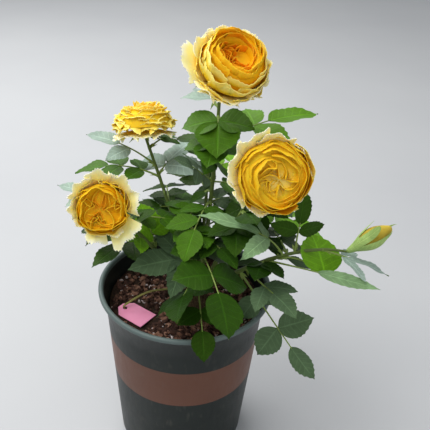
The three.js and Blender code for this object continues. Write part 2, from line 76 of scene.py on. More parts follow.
PAIRS = {1: [], 3: [0.72], 5: [0.34, 0.74]}
PAIR_SIZES = {1: [], 3: [0.86], 5: [0.74, 0.92]}
FREE = dict(turn=144, scatter=18, rise=22, lift=14, droop=34, stalk=46, reach=8, roll=14, vary=0.12,
            leaflets=5, fan=62, breadth=0.66, detours=(0, 24, -24, 48, -48, 80))

# A pinned leaf's row: place on the cane, azimuth, rise, droop, stalk, roll, size, leaflets, fan,
# breadth, and its tone. A separate program solved most rows from points read off the photograph, and
# some were changed a little since; the tones are by eye. free: leaves, from, to, first azimuth,
# blade length.
CANES = {
    "front": dict(
        foot=(8, -8, 182), tip=(3, -13, 266), bow=(6, 2, 0), thick=(2.6, 1.6), bare=0.22,
        free=(2, 0.5, 0.9, 130, 30),
        pinned=[
            (0.78, 290, 7, 27, 78, -22, 42, 5, 82, 0.88, "dark"),
            (0.45, 208, 29, 22, 20, -30, 48, 3, 62, 0.55, "dull"),
            (0.26, 260, 6, -6, 45, 34, 43, 3, 56, 0.62, "deep"),
            (0.34, 279, -2, 26, 74, 0, 28, 3, 62, 0.75, "deep"),
            (0.98, 91, 22, 43, 32, 4, 33, 5, 62, 0.86, "mid"),
            (0.9, 292, 21, 9, 14, -6, 30, 5, 62, 0.86, "mid"),
            (0.74, 131, 17, 51, 25, -18, 33, 5, 62, 0.8, "dark"),
        ]),
    "bud": dict(
        foot=(21, -3, 182), tip=(143, -36, 258), bow=(5, -39, 62), thick=(3, 1.4), bare=0.2,
        free=(1, 0.5, 0.6, 90, 28),
        pinned=[
            (0.52, 180, 62, 37, 34, 2, 60, 3, 62, 0.3, "pale"),
            (0.6, 68, 87, 15, 29, 42, 32, 3, 78, 0.5, "dark"),
            (0.49, -17, 17, 57, 51, 21, 41, 1, -137, 1.1, "fresh"),
            (0.41, -26, 8, 3, 50, 47, 54, 1, 0, 0.2, "pale"),
            (0.23, 320, -39, -2, 85, 54, 37, 5, 72, 0.75, "dull"),
            (0.27, 305, -4, -7, 42, 5, 34, 3, 54, 0.6, "dull"),
            (0.39, 257, 26, 13, 12, -3, 28, 5, 62, 0.8, "deep"),
            (0.46, 18, 4, 30, 14, 35, 34, 1, 0, 0.26, "dull"),
            (0.8, -4, -14, 0, 26, -10, 40, 3, 55, 0.35, "grey"),
        ]),
    "top": dict(
        foot=(14, 4, 184), tip=(23, 29, 379), bow=(4, -2, 0), thick=(3.2, 1.9), bare=0.3,
        free=(2, 0.36, 0.72, 320, 34),
        pinned=[
            (0.74, 27, 23, 16, 56, 0, 54, 3, 74, 0.54, "bright"),
            (0.87, 271, 6, 26, 13, 3, 38, 3, 80, 1.02, "mid"),
            (0.75, 262, 20, 21, 15, 0, 33, 3, 62, 0.92, "mid"),
            (0.9, 116, 26, 26, 21, 4, 33, 3, 64, 0.6, "grey"),
            (0.55, 217, 45, 4, 32, -24, 24, 5, 66, 0.6, "dull"),
            (0.66, 260, 29, 18, 12, -26, 29, 3, 62, 0.5, "mid"),
            (0.5, 153, -7, 36, 14, -9, 28, 5, 56, 0.75, "dark"),
        ]),
    "left": dict(
        foot=(3, -3, 184), tip=(-76, -13, 282), bow=(0, -8, 14), thick=(2.9, 1.8), bare=0.3,
        free=(2, 0.5, 0.85, 150, 32),
        pinned=[
            (0.4, 119, 61, 23, 23, 0, 28, 5, 62, 0.8, "fresh"),
            (0.51, 219, 45, 19, 12, -4, 30, 3, 62, 0.6, "fresh"),
            (0.91, 158, 27, 19, 25, 0, 34, 3, 62, 0.5, "grey"),
            (0.72, 309, 44, 30, 26, 28, 22, 5, 62, 0.8, "dark"),
        ]),
    "right": dict(
        foot=(18, -6, 183), tip=(65, -40, 336), bow=(4, 18, 12), thick=(3.2, 1.9), bare=0.32,
        free=(2, 0.5, 0.84, 60, 34),
        pinned=[
            (0.52, 270, 21, 27, 14, 0, 33, 3, 62, 0.75, "dark"),
            (0.62, 284, 22, 0, 12, 18, 32, 5, 68, 0.8, "dark"),
            (0.76, 10, 10, 14, 24, 10, 32, 5, 62, 0.7, "dull"),
        ]),
    "back": dict(
        foot=(7, 8, 184), tip=(-45, 44, 322), bow=(-2, 8, 4), thick=(2.8, 1.7), bare=0.34,
        free=(2, 0.4, 0.8, 20, 34),
        pinned=[
            (0.71, 61, 40, 24, 18, -17, 54, 3, 87, 0.54, "grey"),
            (0.78, 169, 37, 22, 41, -8, 34, 3, 64, 0.55, "grey"),
            (0.9, 60, 20, 30, 24, 0, 24, 3, 62, 0.6, "mid"),
        ]),
    "rear": dict(
        foot=(13, 12, 183), tip=(16, 76, 278), bow=(0, 14, 4), thick=(2.8, 1.6), bare=0.3,
        free=(6, 0.34, 0.98, 40, 36),
        pinned=[]),
    "rear_right": dict(
        foot=(19, 6, 183), tip=(64, 54, 280), bow=(6, 2, 4), thick=(2.8, 1.6), bare=0.3,
        free=(5, 0.34, 0.98, 10, 36),
        pinned=[]),
    "rear_left": dict(
        foot=(4, 4, 184), tip=(-46, 62, 238), bow=(-6, -2, 8), thick=(2.6, 1.5), bare=0.32,
        free=(5, 0.36, 0.98, 100, 36),
        pinned=[]),
}
# The low right leaf ends in a slimmer leaflet: its breadth against that of the row.
SLIM_ENDS = {("bud", 4): 0.64}
FREE_TONES = ("mid", "dark", "dull", "deep", "mid", "fresh")
# How thick a leaf and a petal are, and how near two points lie that are welded into one.
LEAF_THICK, PETAL_THICK, WELD = 0.36, 0.42, 0.02
# A stipule's length, breadth as a share of it, and how far it spreads from its stalk; a prickle's
# length and its spread, radius at the foot and at the point, droop, and the turn from one to the next.
STIPULE = dict(long=8.0, breadth=0.28, spread=0.35)
PRICKLE = dict(long=3.4, vary=0.8, foot=1.1, point=0.05, droop=0.55, turn=137.5)
# The dressed cane's radius against the solid's, and how near a midrib lies to the leaves that hold it.
CANE_SHARE, HELD_WITHIN = 0.76, 1.0

# Leaf tones as sRGB: upper face, and roughness. The grey one is painted sheen: a pale grey-green base
# colour that stands in for the reflection of a bright sky on glossy leaves.
TONES = {
    "bright": ("#4f7a12", 0.5), "fresh": ("#6a9c20", 0.5), "mid": ("#385e10", 0.48),
    "dark": ("#294810", 0.46), "deep": ("#1f3c0a", 0.44), "dull": ("#50664a", 0.5),
    "pale": ("#7d9c70", 0.5), "grey": ("#8b9e93", 0.48),
}

ROSES = {
    "top": dict(azimuth=-65, rise=52, wide=58, deep=44, lean=(78, 9, 3)),
    "right": dict(azimuth=-85, rise=22, wide=59, deep=38, lean=(335, 5, 0)),
    "left": dict(azimuth=-80, rise=20, wide=45, deep=32, lean=(235, 4, 0)),
    "back": dict(azimuth=110, rise=70, wide=46, deep=28, lean=(0, 0, 0)),
}
# A hip: its height, its outline as radius and height, and its sepals as shares of the bloom's width.
HIP = dict(height=4, sepal=0.36, breadth=0.16, lean=1.3,
           outline=((0.4, -2.5), (2.2, -2), (3.1, -0.5), (3.9, 1.5), (3.7, 3.0), (3.0, 4.2), (0.4, 4.6)))
# The bud's outline as shares of half its width at heights, and its sepals: turn, reach, half width,
# lean and tail.
BUD = dict(azimuth=5, rise=36, wide=19, heights=(0, 4, 10, 16, 22, 29, 36, 42, 46),
           shares=(0.16, 0.28, 0.48, 0.78, 0.98, 0.96, 0.7, 0.36, 0.06), start=0.4, long=43.6,
           rows=46, sides=36, cup=16,
           sepals=((20, 42, 38, 0.0, 6), (95, 40, 38, 0.3, 6), (165, 44, 38, 0.0, 26),
                   (238, 33, 30, 1.2, 6), (310, 36, 30, 4.0, 6)))


def chance(a, b):
    """A repeatable number between -1 and 1: twice the fraction of a large sine, less one."""
    s = np.sin(a * 12.9898 + b * 78.233) * 43758.5453
    return 2 * (s - np.floor(s)) - 1


def unit(v):
    """v over its own length."""
    return v / np.linalg.norm(v, axis=-1, keepdims=True)


def heading(azimuth, rise):
    """The direction at an azimuth from +X and a rise above level, in degrees."""
    a, r = np.radians(azimuth), np.radians(rise)
    return np.array([np.cos(r) * np.cos(a), np.cos(r) * np.sin(a), np.sin(r)])


def spokes(count):
    """Evenly spaced angles in radians, the first at 0: 2 pi k / count."""
    return 2 * np.pi * np.arange(count) / count


def around(angle):
    """The level points (cos, sin) of angles in radians."""
    return np.stack([np.cos(angle), np.sin(angle)], -1)


def raised(flat, z):
    """Level points at one height."""
    return np.concatenate([flat, np.full((*flat.shape[:-1], 1), z)], -1)


def level_side(way):
    """The level direction square to a way: way x up, or +X where the way is upright."""
    side = np.cross(way, UP)
    return unit(side) if np.linalg.norm(side) > 1e-3 else np.array([1.0, 0.0, 0.0])


def bezier(ends, t):
    """(1-t)^2 A + 2t(1-t) B + t^2 C for three points or numbers."""
    a, b, c = (np.asarray(p, float) for p in ends)
    t = np.asarray(t, float)
    t = t[..., None] if a.ndim else t
    return (1 - t) ** 2 * a + 2 * t * (1 - t) * b + t ** 2 * c


def bezier_way(ends, t):
    """The unit direction of that curve: (1-t)(B-A) + t(C-B)."""
    a, b, c = (np.asarray(p, float) for p in ends)
    t = np.asarray(t, float)[..., None]
    return unit((1 - t) * (b - a) + t * (c - b))


def turned_about(v, axis, angle):
    """v turned about a unit axis square to it."""
    a = np.radians(angle)
    return v * np.cos(a) + np.cross(axis, v) * np.sin(a)


def leaf_axes(along, roll):
    """Side and face of a leaf: side is along x up, face is side x along, both rolled about along."""
    side = level_side(along)
    face = np.cross(side, along)
    return turned_about(side, along, roll), turned_about(face, along, roll)


def cane_curve(cane):
    """Foot, middle and tip of a cane: the middle is halfway, pushed aside by the bow."""
    foot, tip, bow = (np.array(cane[k], float) for k in ("foot", "tip", "bow"))
    return foot, (foot + tip) / 2 + bow, tip


def stalk_curve(start, azimuth, rise, droop, length):
    """A stalk sets out at its rise for half its length and ends lower by its droop."""
    middle = start + heading(azimuth, rise) * length / 2
    return start, middle, middle + heading(azimuth, rise - droop) * length / 2


def ripple(points, size, seed):
    """Smooth relief between -1 and 1: the mean of seven sine waves in seeded directions, size apart."""
    rng = np.random.default_rng(seed)
    ways = unit(rng.normal(size=(7, 3))) * (2 * np.pi / size) * rng.uniform(0.6, 1.5, (7, 1))
    return np.sin(points @ ways.T + rng.uniform(0, 6.28, 7)).mean(-1) * 1.8


def grid_faces(rows, cols, wrap_rows=False):
    """Quads of a grid of points: each row is a closed ring, and the last row meets the first one
    where it wraps."""
    r = np.arange(rows if wrap_rows else rows - 1)[:, None]
    c = np.arange(cols)[None, :]
    r2, c2 = (r + 1) % rows, (c + 1) % cols
    return np.stack([r * cols + c, r * cols + c2, r2 * cols + c2, r2 * cols + c], -1).reshape(-1, 4)


def grid_uv(rows, cols):
    """The share of the rows and the share of the columns at each point of a grid."""
    return np.stack(np.meshgrid(np.linspace(0, 1, rows), np.linspace(0, 1, cols), indexing="ij"), -1)


def skin(rings, uv=None, mat=0, back_mat=None, front=0):
    """Closed skin over rings (..., n, m, 3) that run anticlockwise about their way; each end is
    closed by a strip across its ring. back_mat is the material of a ring's faces after the front
    ones. They fold along the same diagonals, so that neither side cuts through the other."""
    *many, n, m, _ = rings.shape
    faces = grid_faces(n, m)
    half = m // 2
    k = np.arange(half - 1)
    cap = np.stack([k, k + 1, m - 2 - k, m - 1 - k], -1)
    faces = np.concatenate([faces, cap[:, ::-1], cap + (n - 1) * m])
    mats = np.full(len(faces), mat)
    if back_mat is not None:
        back = np.flatnonzero(np.tile(np.arange(m), n - 1) >= front)
        mats[back] = back_mat
        faces[back] = np.roll(faces[back], -1, 1)
    count = int(np.prod(many)) if many else 1
    uv = grid_uv(n, m) if uv is None else uv
    uv = np.broadcast_to(uv, (*many, n, m, 2)).reshape(-1, 2)
    shift = np.arange(count)[:, None, None] * n * m
    return rings.reshape(-1, 3), (faces[None] + shift).reshape(-1, 4), uv, np.tile(mats, count)


def sheet(points, wrap_rows=False):
    """The quads of one grid of points, with its shares of rows and columns as UV."""
    n, m, _ = points.shape
    faces = grid_faces(n, m, wrap_rows)
    return points.reshape(-1, 3), faces, grid_uv(n, m).reshape(-1, 2), np.zeros(len(faces), int)


def flipped(part):
    """The same part with its faces turned round."""
    points, faces, uv, mats = part
    return points, faces[:, ::-1], uv, mats


def tree_of(obj):
    """A mesh object's faces as a tree, which finds the nearest face and where two trees cross."""
    return BVHTree.FromPolygons([obj.matrix_world @ v.co for v in obj.data.vertices],
                                [tuple(p.vertices) for p in obj.data.polygons])


def make_piece(name, parts, finishes, nodes=(), crease=50, weld=False):
    """Joins parts into one mesh object at the origin, in metres, riding on the root."""
    starts = np.cumsum([0] + [len(p[0]) for p in parts[:-1]])
    points = np.concatenate([p[0] for p in parts]) * MM
    faces = np.concatenate([p[1] + s for p, s in zip(parts, starts)])
    uvs = np.concatenate([p[2] for p in parts])
    mats = np.concatenate([p[3] for p in parts])
    mesh = bpy.data.meshes.new(name)
    mesh.vertices.add(len(points))
    mesh.vertices.foreach_set("co", points.astype(np.float32).ravel())
    mesh.loops.add(faces.size)
    mesh.loops.foreach_set("vertex_index", faces.astype(np.int32).ravel())
    mesh.polygons.add(len(faces))
    mesh.polygons.foreach_set("loop_start", np.arange(0, faces.size, 4, dtype=np.int32))
    mesh.polygons.foreach_set("material_index", mats.astype(np.int32))
    mesh.update(calc_edges=True)
    layer = mesh.uv_layers.new(name="UVMap")
    layer.data.foreach_set("uv", uvs[faces.ravel()].astype(np.float32).ravel())
    if weld:
        bm = bmesh.new()
        bm.from_mesh(mesh)
        bmesh.ops.remove_doubles(bm, verts=bm.verts, dist=WELD * MM)
        bmesh.ops.recalc_face_normals(bm, faces=bm.faces)
        bm.to_mesh(mesh)
        bm.free()
    mesh.shade_smooth()
    mesh.set_sharp_from_angle(angle=radians(crease))
    for finish in finishes:
        mesh.materials.append(FINISH[finish])
    obj = bpy.data.objects.new(name, mesh)
    bpy.context.scene.collection.objects.link(obj)
    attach(obj, "root")
    if nodes:
        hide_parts(*nodes)
    return obj


def tube(path, ways, radius, sides=10, shape=None):
    """Rings of a radius round a path; side is the level across its chord, made square to each way."""
    level = level_side(unit(path[-1] - path[0]))
    side = unit(level - (ways @ level)[:, None] * ways)
    face = np.cross(ways, side)
    angle = spokes(sides)
    reach = np.asarray(radius, float).reshape(-1, 1) * (1 if shape is None else shape)
    return (path[:, None] + (reach * np.cos(angle))[..., None] * side[:, None]
            + (reach * np.sin(angle))[..., None] * face[:, None])


def lathe(profile, sides, foot=(0, 0, 0), axis=UP):
    """Rings of a profile (radius, height) about an axis through a foot, anticlockwise about it."""
    profile = np.asarray(profile, float)
    side = leaf_axes(np.asarray(axis, float), 0)[0]
    angle = spokes(sides)
    out = np.cos(angle)[:, None] * side + np.sin(angle)[:, None] * np.cross(axis, side)
    up = profile[:, 1, None, None] * np.asarray(axis)
    return np.asarray(foot, float) + profile[:, 0, None, None] * out + up


def srgb(hex_colour):
    """A six-digit sRGB colour as linear RGBA."""
    c = np.array([int(hex_colour[i:i + 2], 16) for i in (1, 3, 5)]) / 255
    return (*np.where(c <= 0.04045, c / 12.92, ((c + 0.055) / 1.055) ** 2.4), 1.0)


def shade(hex_colour, by):
    """An sRGB colour with its three shares scaled by a factor."""
    shares = (int(hex_colour[i:i + 2], 16) * by for i in (1, 3, 5))
    return "#" + "".join("%02x" % int(min(255, max(0, share))) for share in shares)


def per_metre(size):
    """The scale of a noise on Object coordinates whose grains are a size in millimetres."""
    return 1 / (size * MM)


# What makes a Mix node blend colours, and the output that holds them.
COLOURS = dict(out=2, data_type="RGBA")


class Finish:
    """A material under construction: its shader, and the two coordinates that patterns are laid on,
    metres on the object and the piece's own UV."""

    def __init__(self, name, colour, roughness, specular, **sockets):
        self.material = bpy.data.materials.new(name)
        self.material.use_nodes = True
        self.tree = self.material.node_tree
        self.shader = self.tree.nodes["Principled BSDF"]
        plain = dict(Base_Color=srgb(colour), Roughness=roughness, Specular_IOR_Level=specular, **sockets)
        for socket, value in plain.items():
            self.shader.inputs[socket.replace("_", " ")].default_value = value
        places = self.tree.nodes.new("ShaderNodeTexCoord").outputs
        self.here, self.own_uv = places["Object"], places["UV"]

    def add(self, kind, inputs, out=0, stops=(), **settings):
        """Adds a node with its settings, its colour stops and its inputs, in order or by name or
        number: each is a value, a hex colour or another node's output. Returns one of its outputs."""
        node = self.tree.nodes.new("ShaderNode" + kind)
        for key, value in settings.items():
            setattr(node, key, value)
        for _ in stops[2:]:
            node.color_ramp.elements.new(0.5)
        for element, (at, colour) in zip(node.color_ramp.elements if stops else (), stops):
            element.position = at
            element.color = srgb(colour)
        for key, value in inputs.items() if isinstance(inputs, dict) else enumerate(inputs):
            if isinstance(value, bpy.types.NodeSocket):
                self.tree.links.new(value, node.inputs[key])
            else:
                node.inputs[key].default_value = srgb(value) if isinstance(value, str) else value
        return node.outputs[out]

    def wear(self, colour, roughness, height, depth, strength):
        """Links a colour, a roughness where it varies, and a height as bump of a depth in millimetres."""
        self.tree.links.new(colour, self.shader.inputs["Base Color"])
        if roughness is not None:
            self.tree.links.new(roughness, self.shader.inputs["Roughness"])
        bump = self.add("Bump", {"Height": height, "Distance": depth * MM, "Strength": strength})
        self.tree.links.new(bump, self.shader.inputs["Normal"])
        return self.material


def leaf_finish(name, colour, roughness):
    """Leaf blade: a light midrib and side veins on the blade's own UV, green mottled in patches of
    6 mm, and a grain of 0.7 mm. Rib: 1 - 22 away; veins: 0.45 max(sin 44 (along - 0.34 away), 0)^10."""
    f = Finish(name, colour, roughness, 0.3, Specular_Tint=srgb("#b9cf6a"))
    along, across = (f.add("SeparateXYZ", [f.own_uv], k) for k in (0, 1))
    aside = f.add("Math", [across, 0.5], operation="SUBTRACT")
    away = f.add("Math", [aside], operation="ABSOLUTE")
    rib = f.add("Math", [away, -22.0, 1.0], operation="MULTIPLY_ADD")
    vein = f.add("Math", [away, -0.34, along], operation="MULTIPLY_ADD")
    for operation, by in (("MULTIPLY", 44.0), ("SINE", 0.0), ("MAXIMUM", 0.0), ("POWER", 10.0),
                          ("MULTIPLY", 0.45), ("MAXIMUM", rib), ("MAXIMUM", 0.0)):
        vein = f.add("Math", [vein, by], operation=operation)
    mottle = f.add("TexNoise", {"Vector": f.here, "Scale": per_metre(6.25), "Detail": 4.0})
    base = f.add("Mix", {0: mottle, 6: shade(colour, 0.86), 7: shade(colour, 1.13)}, **COLOURS)
    light = f.add("Math", [vein, 0.5], operation="MULTIPLY")
    tinted = f.add("Mix", {0: light, 6: base, 7: shade(colour, 1.45)}, **COLOURS)
    rough = f.add("Math", [mottle, 0.14, roughness - 0.07], operation="MULTIPLY_ADD")
    grain = f.add("TexNoise", {"Vector": f.here, "Scale": per_metre(0.7143), "Detail": 2.0})
    relief = f.add("Math", [vein, -0.9, grain], operation="MULTIPLY_ADD")
    return f.wear(tinted, rough, relief, 0.4, 0.7)


def petal_finish(name, deep, body, edge, lasts=0.0, light=0.6):
    """Petal: a deep foot that lasts to one height, the body colour from another, a light edge, clouds
    of 8 mm that shift them, and fine ribs on its own UV that run up to the rim."""
    f = Finish(name, body, 0.6, 0.12, Subsurface_Weight=0.6, Subsurface_Scale=0.6 * MM,
               Subsurface_Radius=(1.0, 0.9, 0.6))
    climb = f.add("SeparateXYZ", [f.own_uv])
    cloud = f.add("TexNoise", {"Vector": f.here, "Scale": per_metre(8.3333), "Detail": 2.0})
    shift = f.add("Math", [cloud, 0.5], operation="SUBTRACT")
    lifted = f.add("Math", [shift, 0.3, climb], operation="MULTIPLY_ADD")
    colour = f.add("ValToRGB", [lifted], stops=[(lasts, deep), (light, body), (0.8, body), (1.0, edge)])
    drawn_out = f.add("Mapping", {"Vector": f.own_uv, "Scale": (0.5, 9.0, 1.0)})
    ribs = f.add("TexNoise", {"Vector": drawn_out, "Scale": 9.0, "Detail": 3.0})
    furrow = f.add("Math", [ribs, 0.16], operation="MULTIPLY")
    tinted = f.add("Mix", {0: furrow, 6: colour, 7: deep}, **COLOURS)
    return f.wear(tinted, None, ribs, 0.6, 0.5)


def rind_finish(name, colour, warm):
    """Cane rind: streaks 1 mm wide and 9 mm long down the cane, and a warm flush in patches of 36 mm."""
    f = Finish(name, colour, 0.5, 0.4)
    drawn_out = f.add("Mapping", {"Vector": f.here, "Scale": (1.0, 1.0, 0.12)})
    streak = f.add("TexNoise", {"Vector": drawn_out, "Scale": per_metre(1.1111), "Detail": 3.0})
    flush = f.add("TexNoise", {"Vector": f.here, "Scale": per_metre(35.714), "Detail": 2.0})
    warmth = f.add("Math", [flush, 0.6], operation="MULTIPLY")
    tint = f.add("Mix", {0: warmth, 6: colour, 7: warm}, **COLOURS)
    light = f.add("Math", [streak, 0.5], operation="MULTIPLY")
    streaked = f.add("Mix", {0: light, 6: tint, 7: shade(colour, 1.35)}, **COLOURS)
    return f.wear(streaked, None, streak, 0.2, 0.6)


def pot_finish():
    """Moulded plastic: near-black green with a printed earth-brown band, a lip painted light grey as a
    painted highlight, clouds of 45 mm, scuffs 4 mm wide and 19 mm tall, peat dust in patches of 17 mm,
    and a grain of 0.7 mm."""
    f = Finish("moulded_pot_plastic", "#141d19", 0.42, 0.35)
    height = f.add("SeparateXYZ", [f.here], 2)
    above = f.add("Math", [height, BAND["low"] * MM], operation="GREATER_THAN")
    below = f.add("Math", [height, BAND["high"] * MM], operation="LESS_THAN")
    inked = f.add("Math", [above, below], operation="MULTIPLY")
    lip = f.add("Math", [height, (POT["height"] - POT["lip"]) * MM], operation="GREATER_THAN")
    cloud = f.add("TexNoise", {"Vector": f.here, "Scale": per_metre(45.455), "Detail": 4.0})
    drawn_out = f.add("Mapping", {"Vector": f.here, "Scale": (1.0, 1.0, 0.2)})
    scuff = f.add("TexNoise", {"Vector": drawn_out, "Scale": per_metre(3.8462), "Detail": 4.0})
    patch = f.add("TexNoise", {"Vector": f.here, "Scale": per_metre(16.667), "Detail": 2.0})
    grain = f.add("TexNoise", {"Vector": f.here, "Scale": per_metre(0.66667), "Detail": 2.0})
    green = f.add("Mix", {0: cloud, 6: "#0c1411", 7: "#151f1b"}, **COLOURS)
    ink = f.add("Mix", {0: cloud, 6: "#5f3a29", 7: "#704735"}, **COLOURS)
    printed = f.add("Mix", {0: inked, 6: green, 7: ink}, **COLOURS)
    # Painted highlight: the lip's light grey stands in for the light reflected along it.
    base = f.add("Mix", {0: lip, 6: printed, 7: "#5b6966"}, **COLOURS)
    settled = f.add("Math", [scuff, patch], operation="MULTIPLY")
    dust = f.add("ValToRGB", [settled], stops=[(0.3, "#000000"), (0.46, "#ffffff")])
    thin = f.add("Math", [dust, 0.16], operation="MULTIPLY")
    dusty = f.add("Mix", {0: thin, 6: base, 7: "#6d6a5e"}, **COLOURS)
    rough = f.add("Math", [scuff, 0.22, 0.33], operation="MULTIPLY_ADD")
    return f.wear(dusty, rough, grain, 0.12, 0.5)


def earth_finish(name, dark, light, size, roughness=0.95):
    """Peat or bark: broken tones of brown, lumps of one size and fibres a sixth of it, which give a
    rough relief."""
    f = Finish(name, dark, roughness, 0.2)
    coarse = f.add("TexNoise", {"Vector": f.here, "Scale": per_metre(size), "Detail": 5.0})
    fine = f.add("TexNoise", {"Vector": f.here, "Scale": per_metre(size / 6), "Detail": 4.0})
    half = f.add("Math", [coarse, 0.5], operation="MULTIPLY")
    both = f.add("Math", [fine, 0.5, half], operation="MULTIPLY_ADD")
    colour = f.add("ValToRGB", [both], stops=[(0.3, shade(dark, 0.6)), (0.5, dark), (0.72, light)])
    return f.wear(colour, None, fine, 1.0, 0.9)


def mineral_finish():
    """Perlite: chalky white grains, faintly pink in pits of 1 mm."""
    f = Finish("perlite_grain", "#ddd5d2", 0.9, 0.2)
    pits = f.add("TexNoise", {"Vector": f.here, "Scale": per_metre(1.1111), "Detail": 3.0})
    chalk = f.add("ValToRGB", [pits], stops=[(0.35, "#b79c9a"), (0.6, "#e6dfdc")])
    return f.wear(chalk, None, pits, 0.5, 0.8)


def card_finish():
    """Tag plastic: warm pink sheet with faint clouds of 11 mm and a satin grain of 0.6 mm."""
    f = Finish("tag_plastic", "#fba0c4", 0.5, 0.4)
    cloud = f.add("TexNoise", {"Vector": f.here, "Scale": per_metre(11.111), "Detail": 3.0})
    satin = f.add("TexNoise", {"Vector": f.here, "Scale": per_metre(0.55556), "Detail": 2.0})
    pink = f.add("Mix", {0: cloud, 6: "#f792ba", 7: "#ffa8ca"}, **COLOURS)
    return f.wear(pink, None, satin, 0.1, 0.5)


def raffia_finish():
    """Raffia: dry olive-yellow fibres on its own UV, drawn out along the strip."""
    f = Finish("raffia_fibre", "#8f8a45", 0.75, 0.3)
    drawn_out = f.add("Mapping", {"Vector": f.own_uv, "Scale": (1.5, 14.0, 1.0)})
    fibre = f.add("TexNoise", {"Vector": drawn_out, "Scale": 14.0, "Detail": 4.0})
    olive = f.add("ValToRGB", [fibre], stops=[(0.3, "#6b6a30"), (0.7, "#a9a25c")])
    return f.wear(olive, None, fibre, 0.4, 0.8)


FINISH = {f"leaf_{tone}": leaf_finish(f"leaf_{tone}", *look) for tone, look in TONES.items()}
FINISH.update({
    "under": leaf_finish("leaf_underside", "#7d9168", 0.6),
    "rind": rind_finish("green_rind", "#51662a", "#57502c"),
    "stalk": rind_finish("leaf_stalk_rind", "#748c40", "#6f6a3a"),
    "calyx": leaf_finish("sepal_green", "#8fae62", 0.5),
    "guard": petal_finish("petal_cream", "#f8cf45", "#fff3ac", "#fffde4", 0.36, 0.7),
    "lemon": petal_finish("petal_lemon", "#ecb414", "#f3cf2c", "#fdea84"),
    "gold": petal_finish("petal_gold", "#e29204", "#e9b208", "#f6cc2c"),
    "amber": petal_finish("petal_amber", "#dc6c04", "#ee9606", "#f4ac18"),
    "bark": earth_finish("cane_crown_bark", "#5b4a35", "#8a7a58", 8.3333, 0.85),
    "peat": earth_finish("damp_peat", "#34251d", "#624a38", 3.8462),
    "chip": earth_finish("bark_chip", "#8c6350", "#d2aa92", 2.9412, 0.85),
    "dark_chip": earth_finish("dark_bark_chip", "#4a332b", "#86604f", 3.3333, 0.9),
    "perlite": mineral_finish(),
    "pot": pot_finish(),
    "tag": card_finish(),
    "tie": raffia_finish(),
    "bud_petal": petal_finish("bud_petal", "#a89c3a", "#b8a038", "#c4aa40"),
    "bud_calyx": leaf_finish("bud_calyx_green", "#a3c070", 0.5),
})


def pot_radius(z):
    """The pot's outside: a straight draft up to the collar, then a flare to the rim."""
    z = np.asarray(z, float)
    share = np.clip((z - POT["collar_at"]) / (POT["height"] - POT["collar_at"]), 0, 1)
    draft = (POT["collar"] - POT["foot"]) * np.minimum(z, POT["collar_at"]) / POT["collar_at"]
    return POT["foot"] + draft + (POT["rim"] - POT["collar"]) * share ** POT["flare"]


def pot():
    """A lathed wall with a rounded lip, and a floor of eight sectors, each a grid from its drain
    hole out to the sector's edge."""
    rim, lip, floor, collar_at = (POT[k] for k in ("rim", "lip", "floor", "collar_at"))
    foot = POT["foot"] - POT["bevel"]
    z = np.concatenate([np.linspace(2, collar_at, 20), np.linspace(collar_at + 3, 178, 9)])
    outside = np.stack([pot_radius(z), z], -1)
    bend = np.radians(np.linspace(-20, 170, 12))
    bead = np.stack([rim - lip / 2 + lip / 2 * np.cos(bend),
                     POT["height"] + POT["bead_rise"] * (np.sin(bend) - 1)], -1)
    z = z[::-1][1:]
    inside = np.stack([pot_radius(z) - POT["wall"], z], -1)
    inner = float(pot_radius(floor)) - POT["wall"]
    step = [(pot_radius(179.5) + 0.2, 179.5), (pot_radius(180.5) + 0.6, 180.6)]
    profile = np.concatenate([[(foot, 0), (POT["foot"] - 0.4, 0.5)], outside, step, bead,
                              [(rim - lip, 181)], inside[:-1], [(inner, floor)]])
    parts = [sheet(lathe(profile, POT["sides"]))]
    half = np.pi / DRAIN["count"]
    arc = np.linspace(-half, half, POT["sides"] // DRAIN["count"] + 1)
    ray = np.linspace(0, 1, 9)[:-1, None]
    for level, reach in ((0, foot), (floor, inner)):
        for turn in spokes(DRAIN["count"]):
            curve = reach * around(turn + arc)
            edge = np.concatenate([ray * curve[0], curve[:-1], (1 - ray) * curve[-1]])
            middle = DRAIN["circle"] * around(turn)
            hole = middle + DRAIN["radius"] * unit(edge - middle)
            flat = hole + (edge - hole) * np.linspace(0, 1, 5)[:, None, None]
            parts.append(sheet(raised(flat, level)))
            if level == 0:
                parts.append(sheet(np.stack([raised(hole, 0), raised(hole, floor)])))
    make_piece("pot_shell", parts, ["pot"], ["pot"], weld=True)


def between(value, ends):
    """0 up to the first end, 1 from the second, and an even climb from one to the other."""
    return np.clip((value - ends[0]) / (ends[1] - ends[0]), 0, 1)


def soil_level(x, y):
    """The peat's surface: two long waves and fine crumbs, less a dip that sets in away from the crown,
    and a low bank against the wall that leaves the tag clear."""
    wave = np.sin(x / 7 + 1) * np.cos(y / 9) + np.sin((x + y) / 5)
    crumb = ripple(np.stack([x, y, 0 * x], -1), 4.0, 5)
    away = np.hypot(x - CROWN["foot"][0], y - CROWN["foot"][1])
    off_tag = np.hypot(x - TAG["at"][0], y - TAG["at"][1])
    dip = SOIL["dip"] * (wave / 4 - 0.5) * between(away, DIP_AWAY)
    bank = SOIL["bank"] * between(np.hypot(x, y), BANK_OUT) ** 1.3 * between(off_tag, BANK_OFF_TAG)
    return SOIL["top"] + dip + SOIL["crumb"] * crumb - SOIL["lower"] + bank


def open_soil(x, y, clear):
    """Whether a spot is at least clear from the tag's rectangle and from the crown's circle."""
    t = np.radians(TAG["turn"])
    dx, dy = x - TAG["at"][0], y - TAG["at"][1]
    past_end = np.abs(dx * np.cos(t) + dy * np.sin(t)) > TAG["long"] / 2 + clear
    past_side = np.abs(dy * np.cos(t) - dx * np.sin(t)) > TAG["wide"] / 2 + clear
    away = np.hypot(x - CROWN["foot"][0], y - CROWN["foot"][1])
    return (past_end | past_side) & (away > CROWN["wide"] + clear)


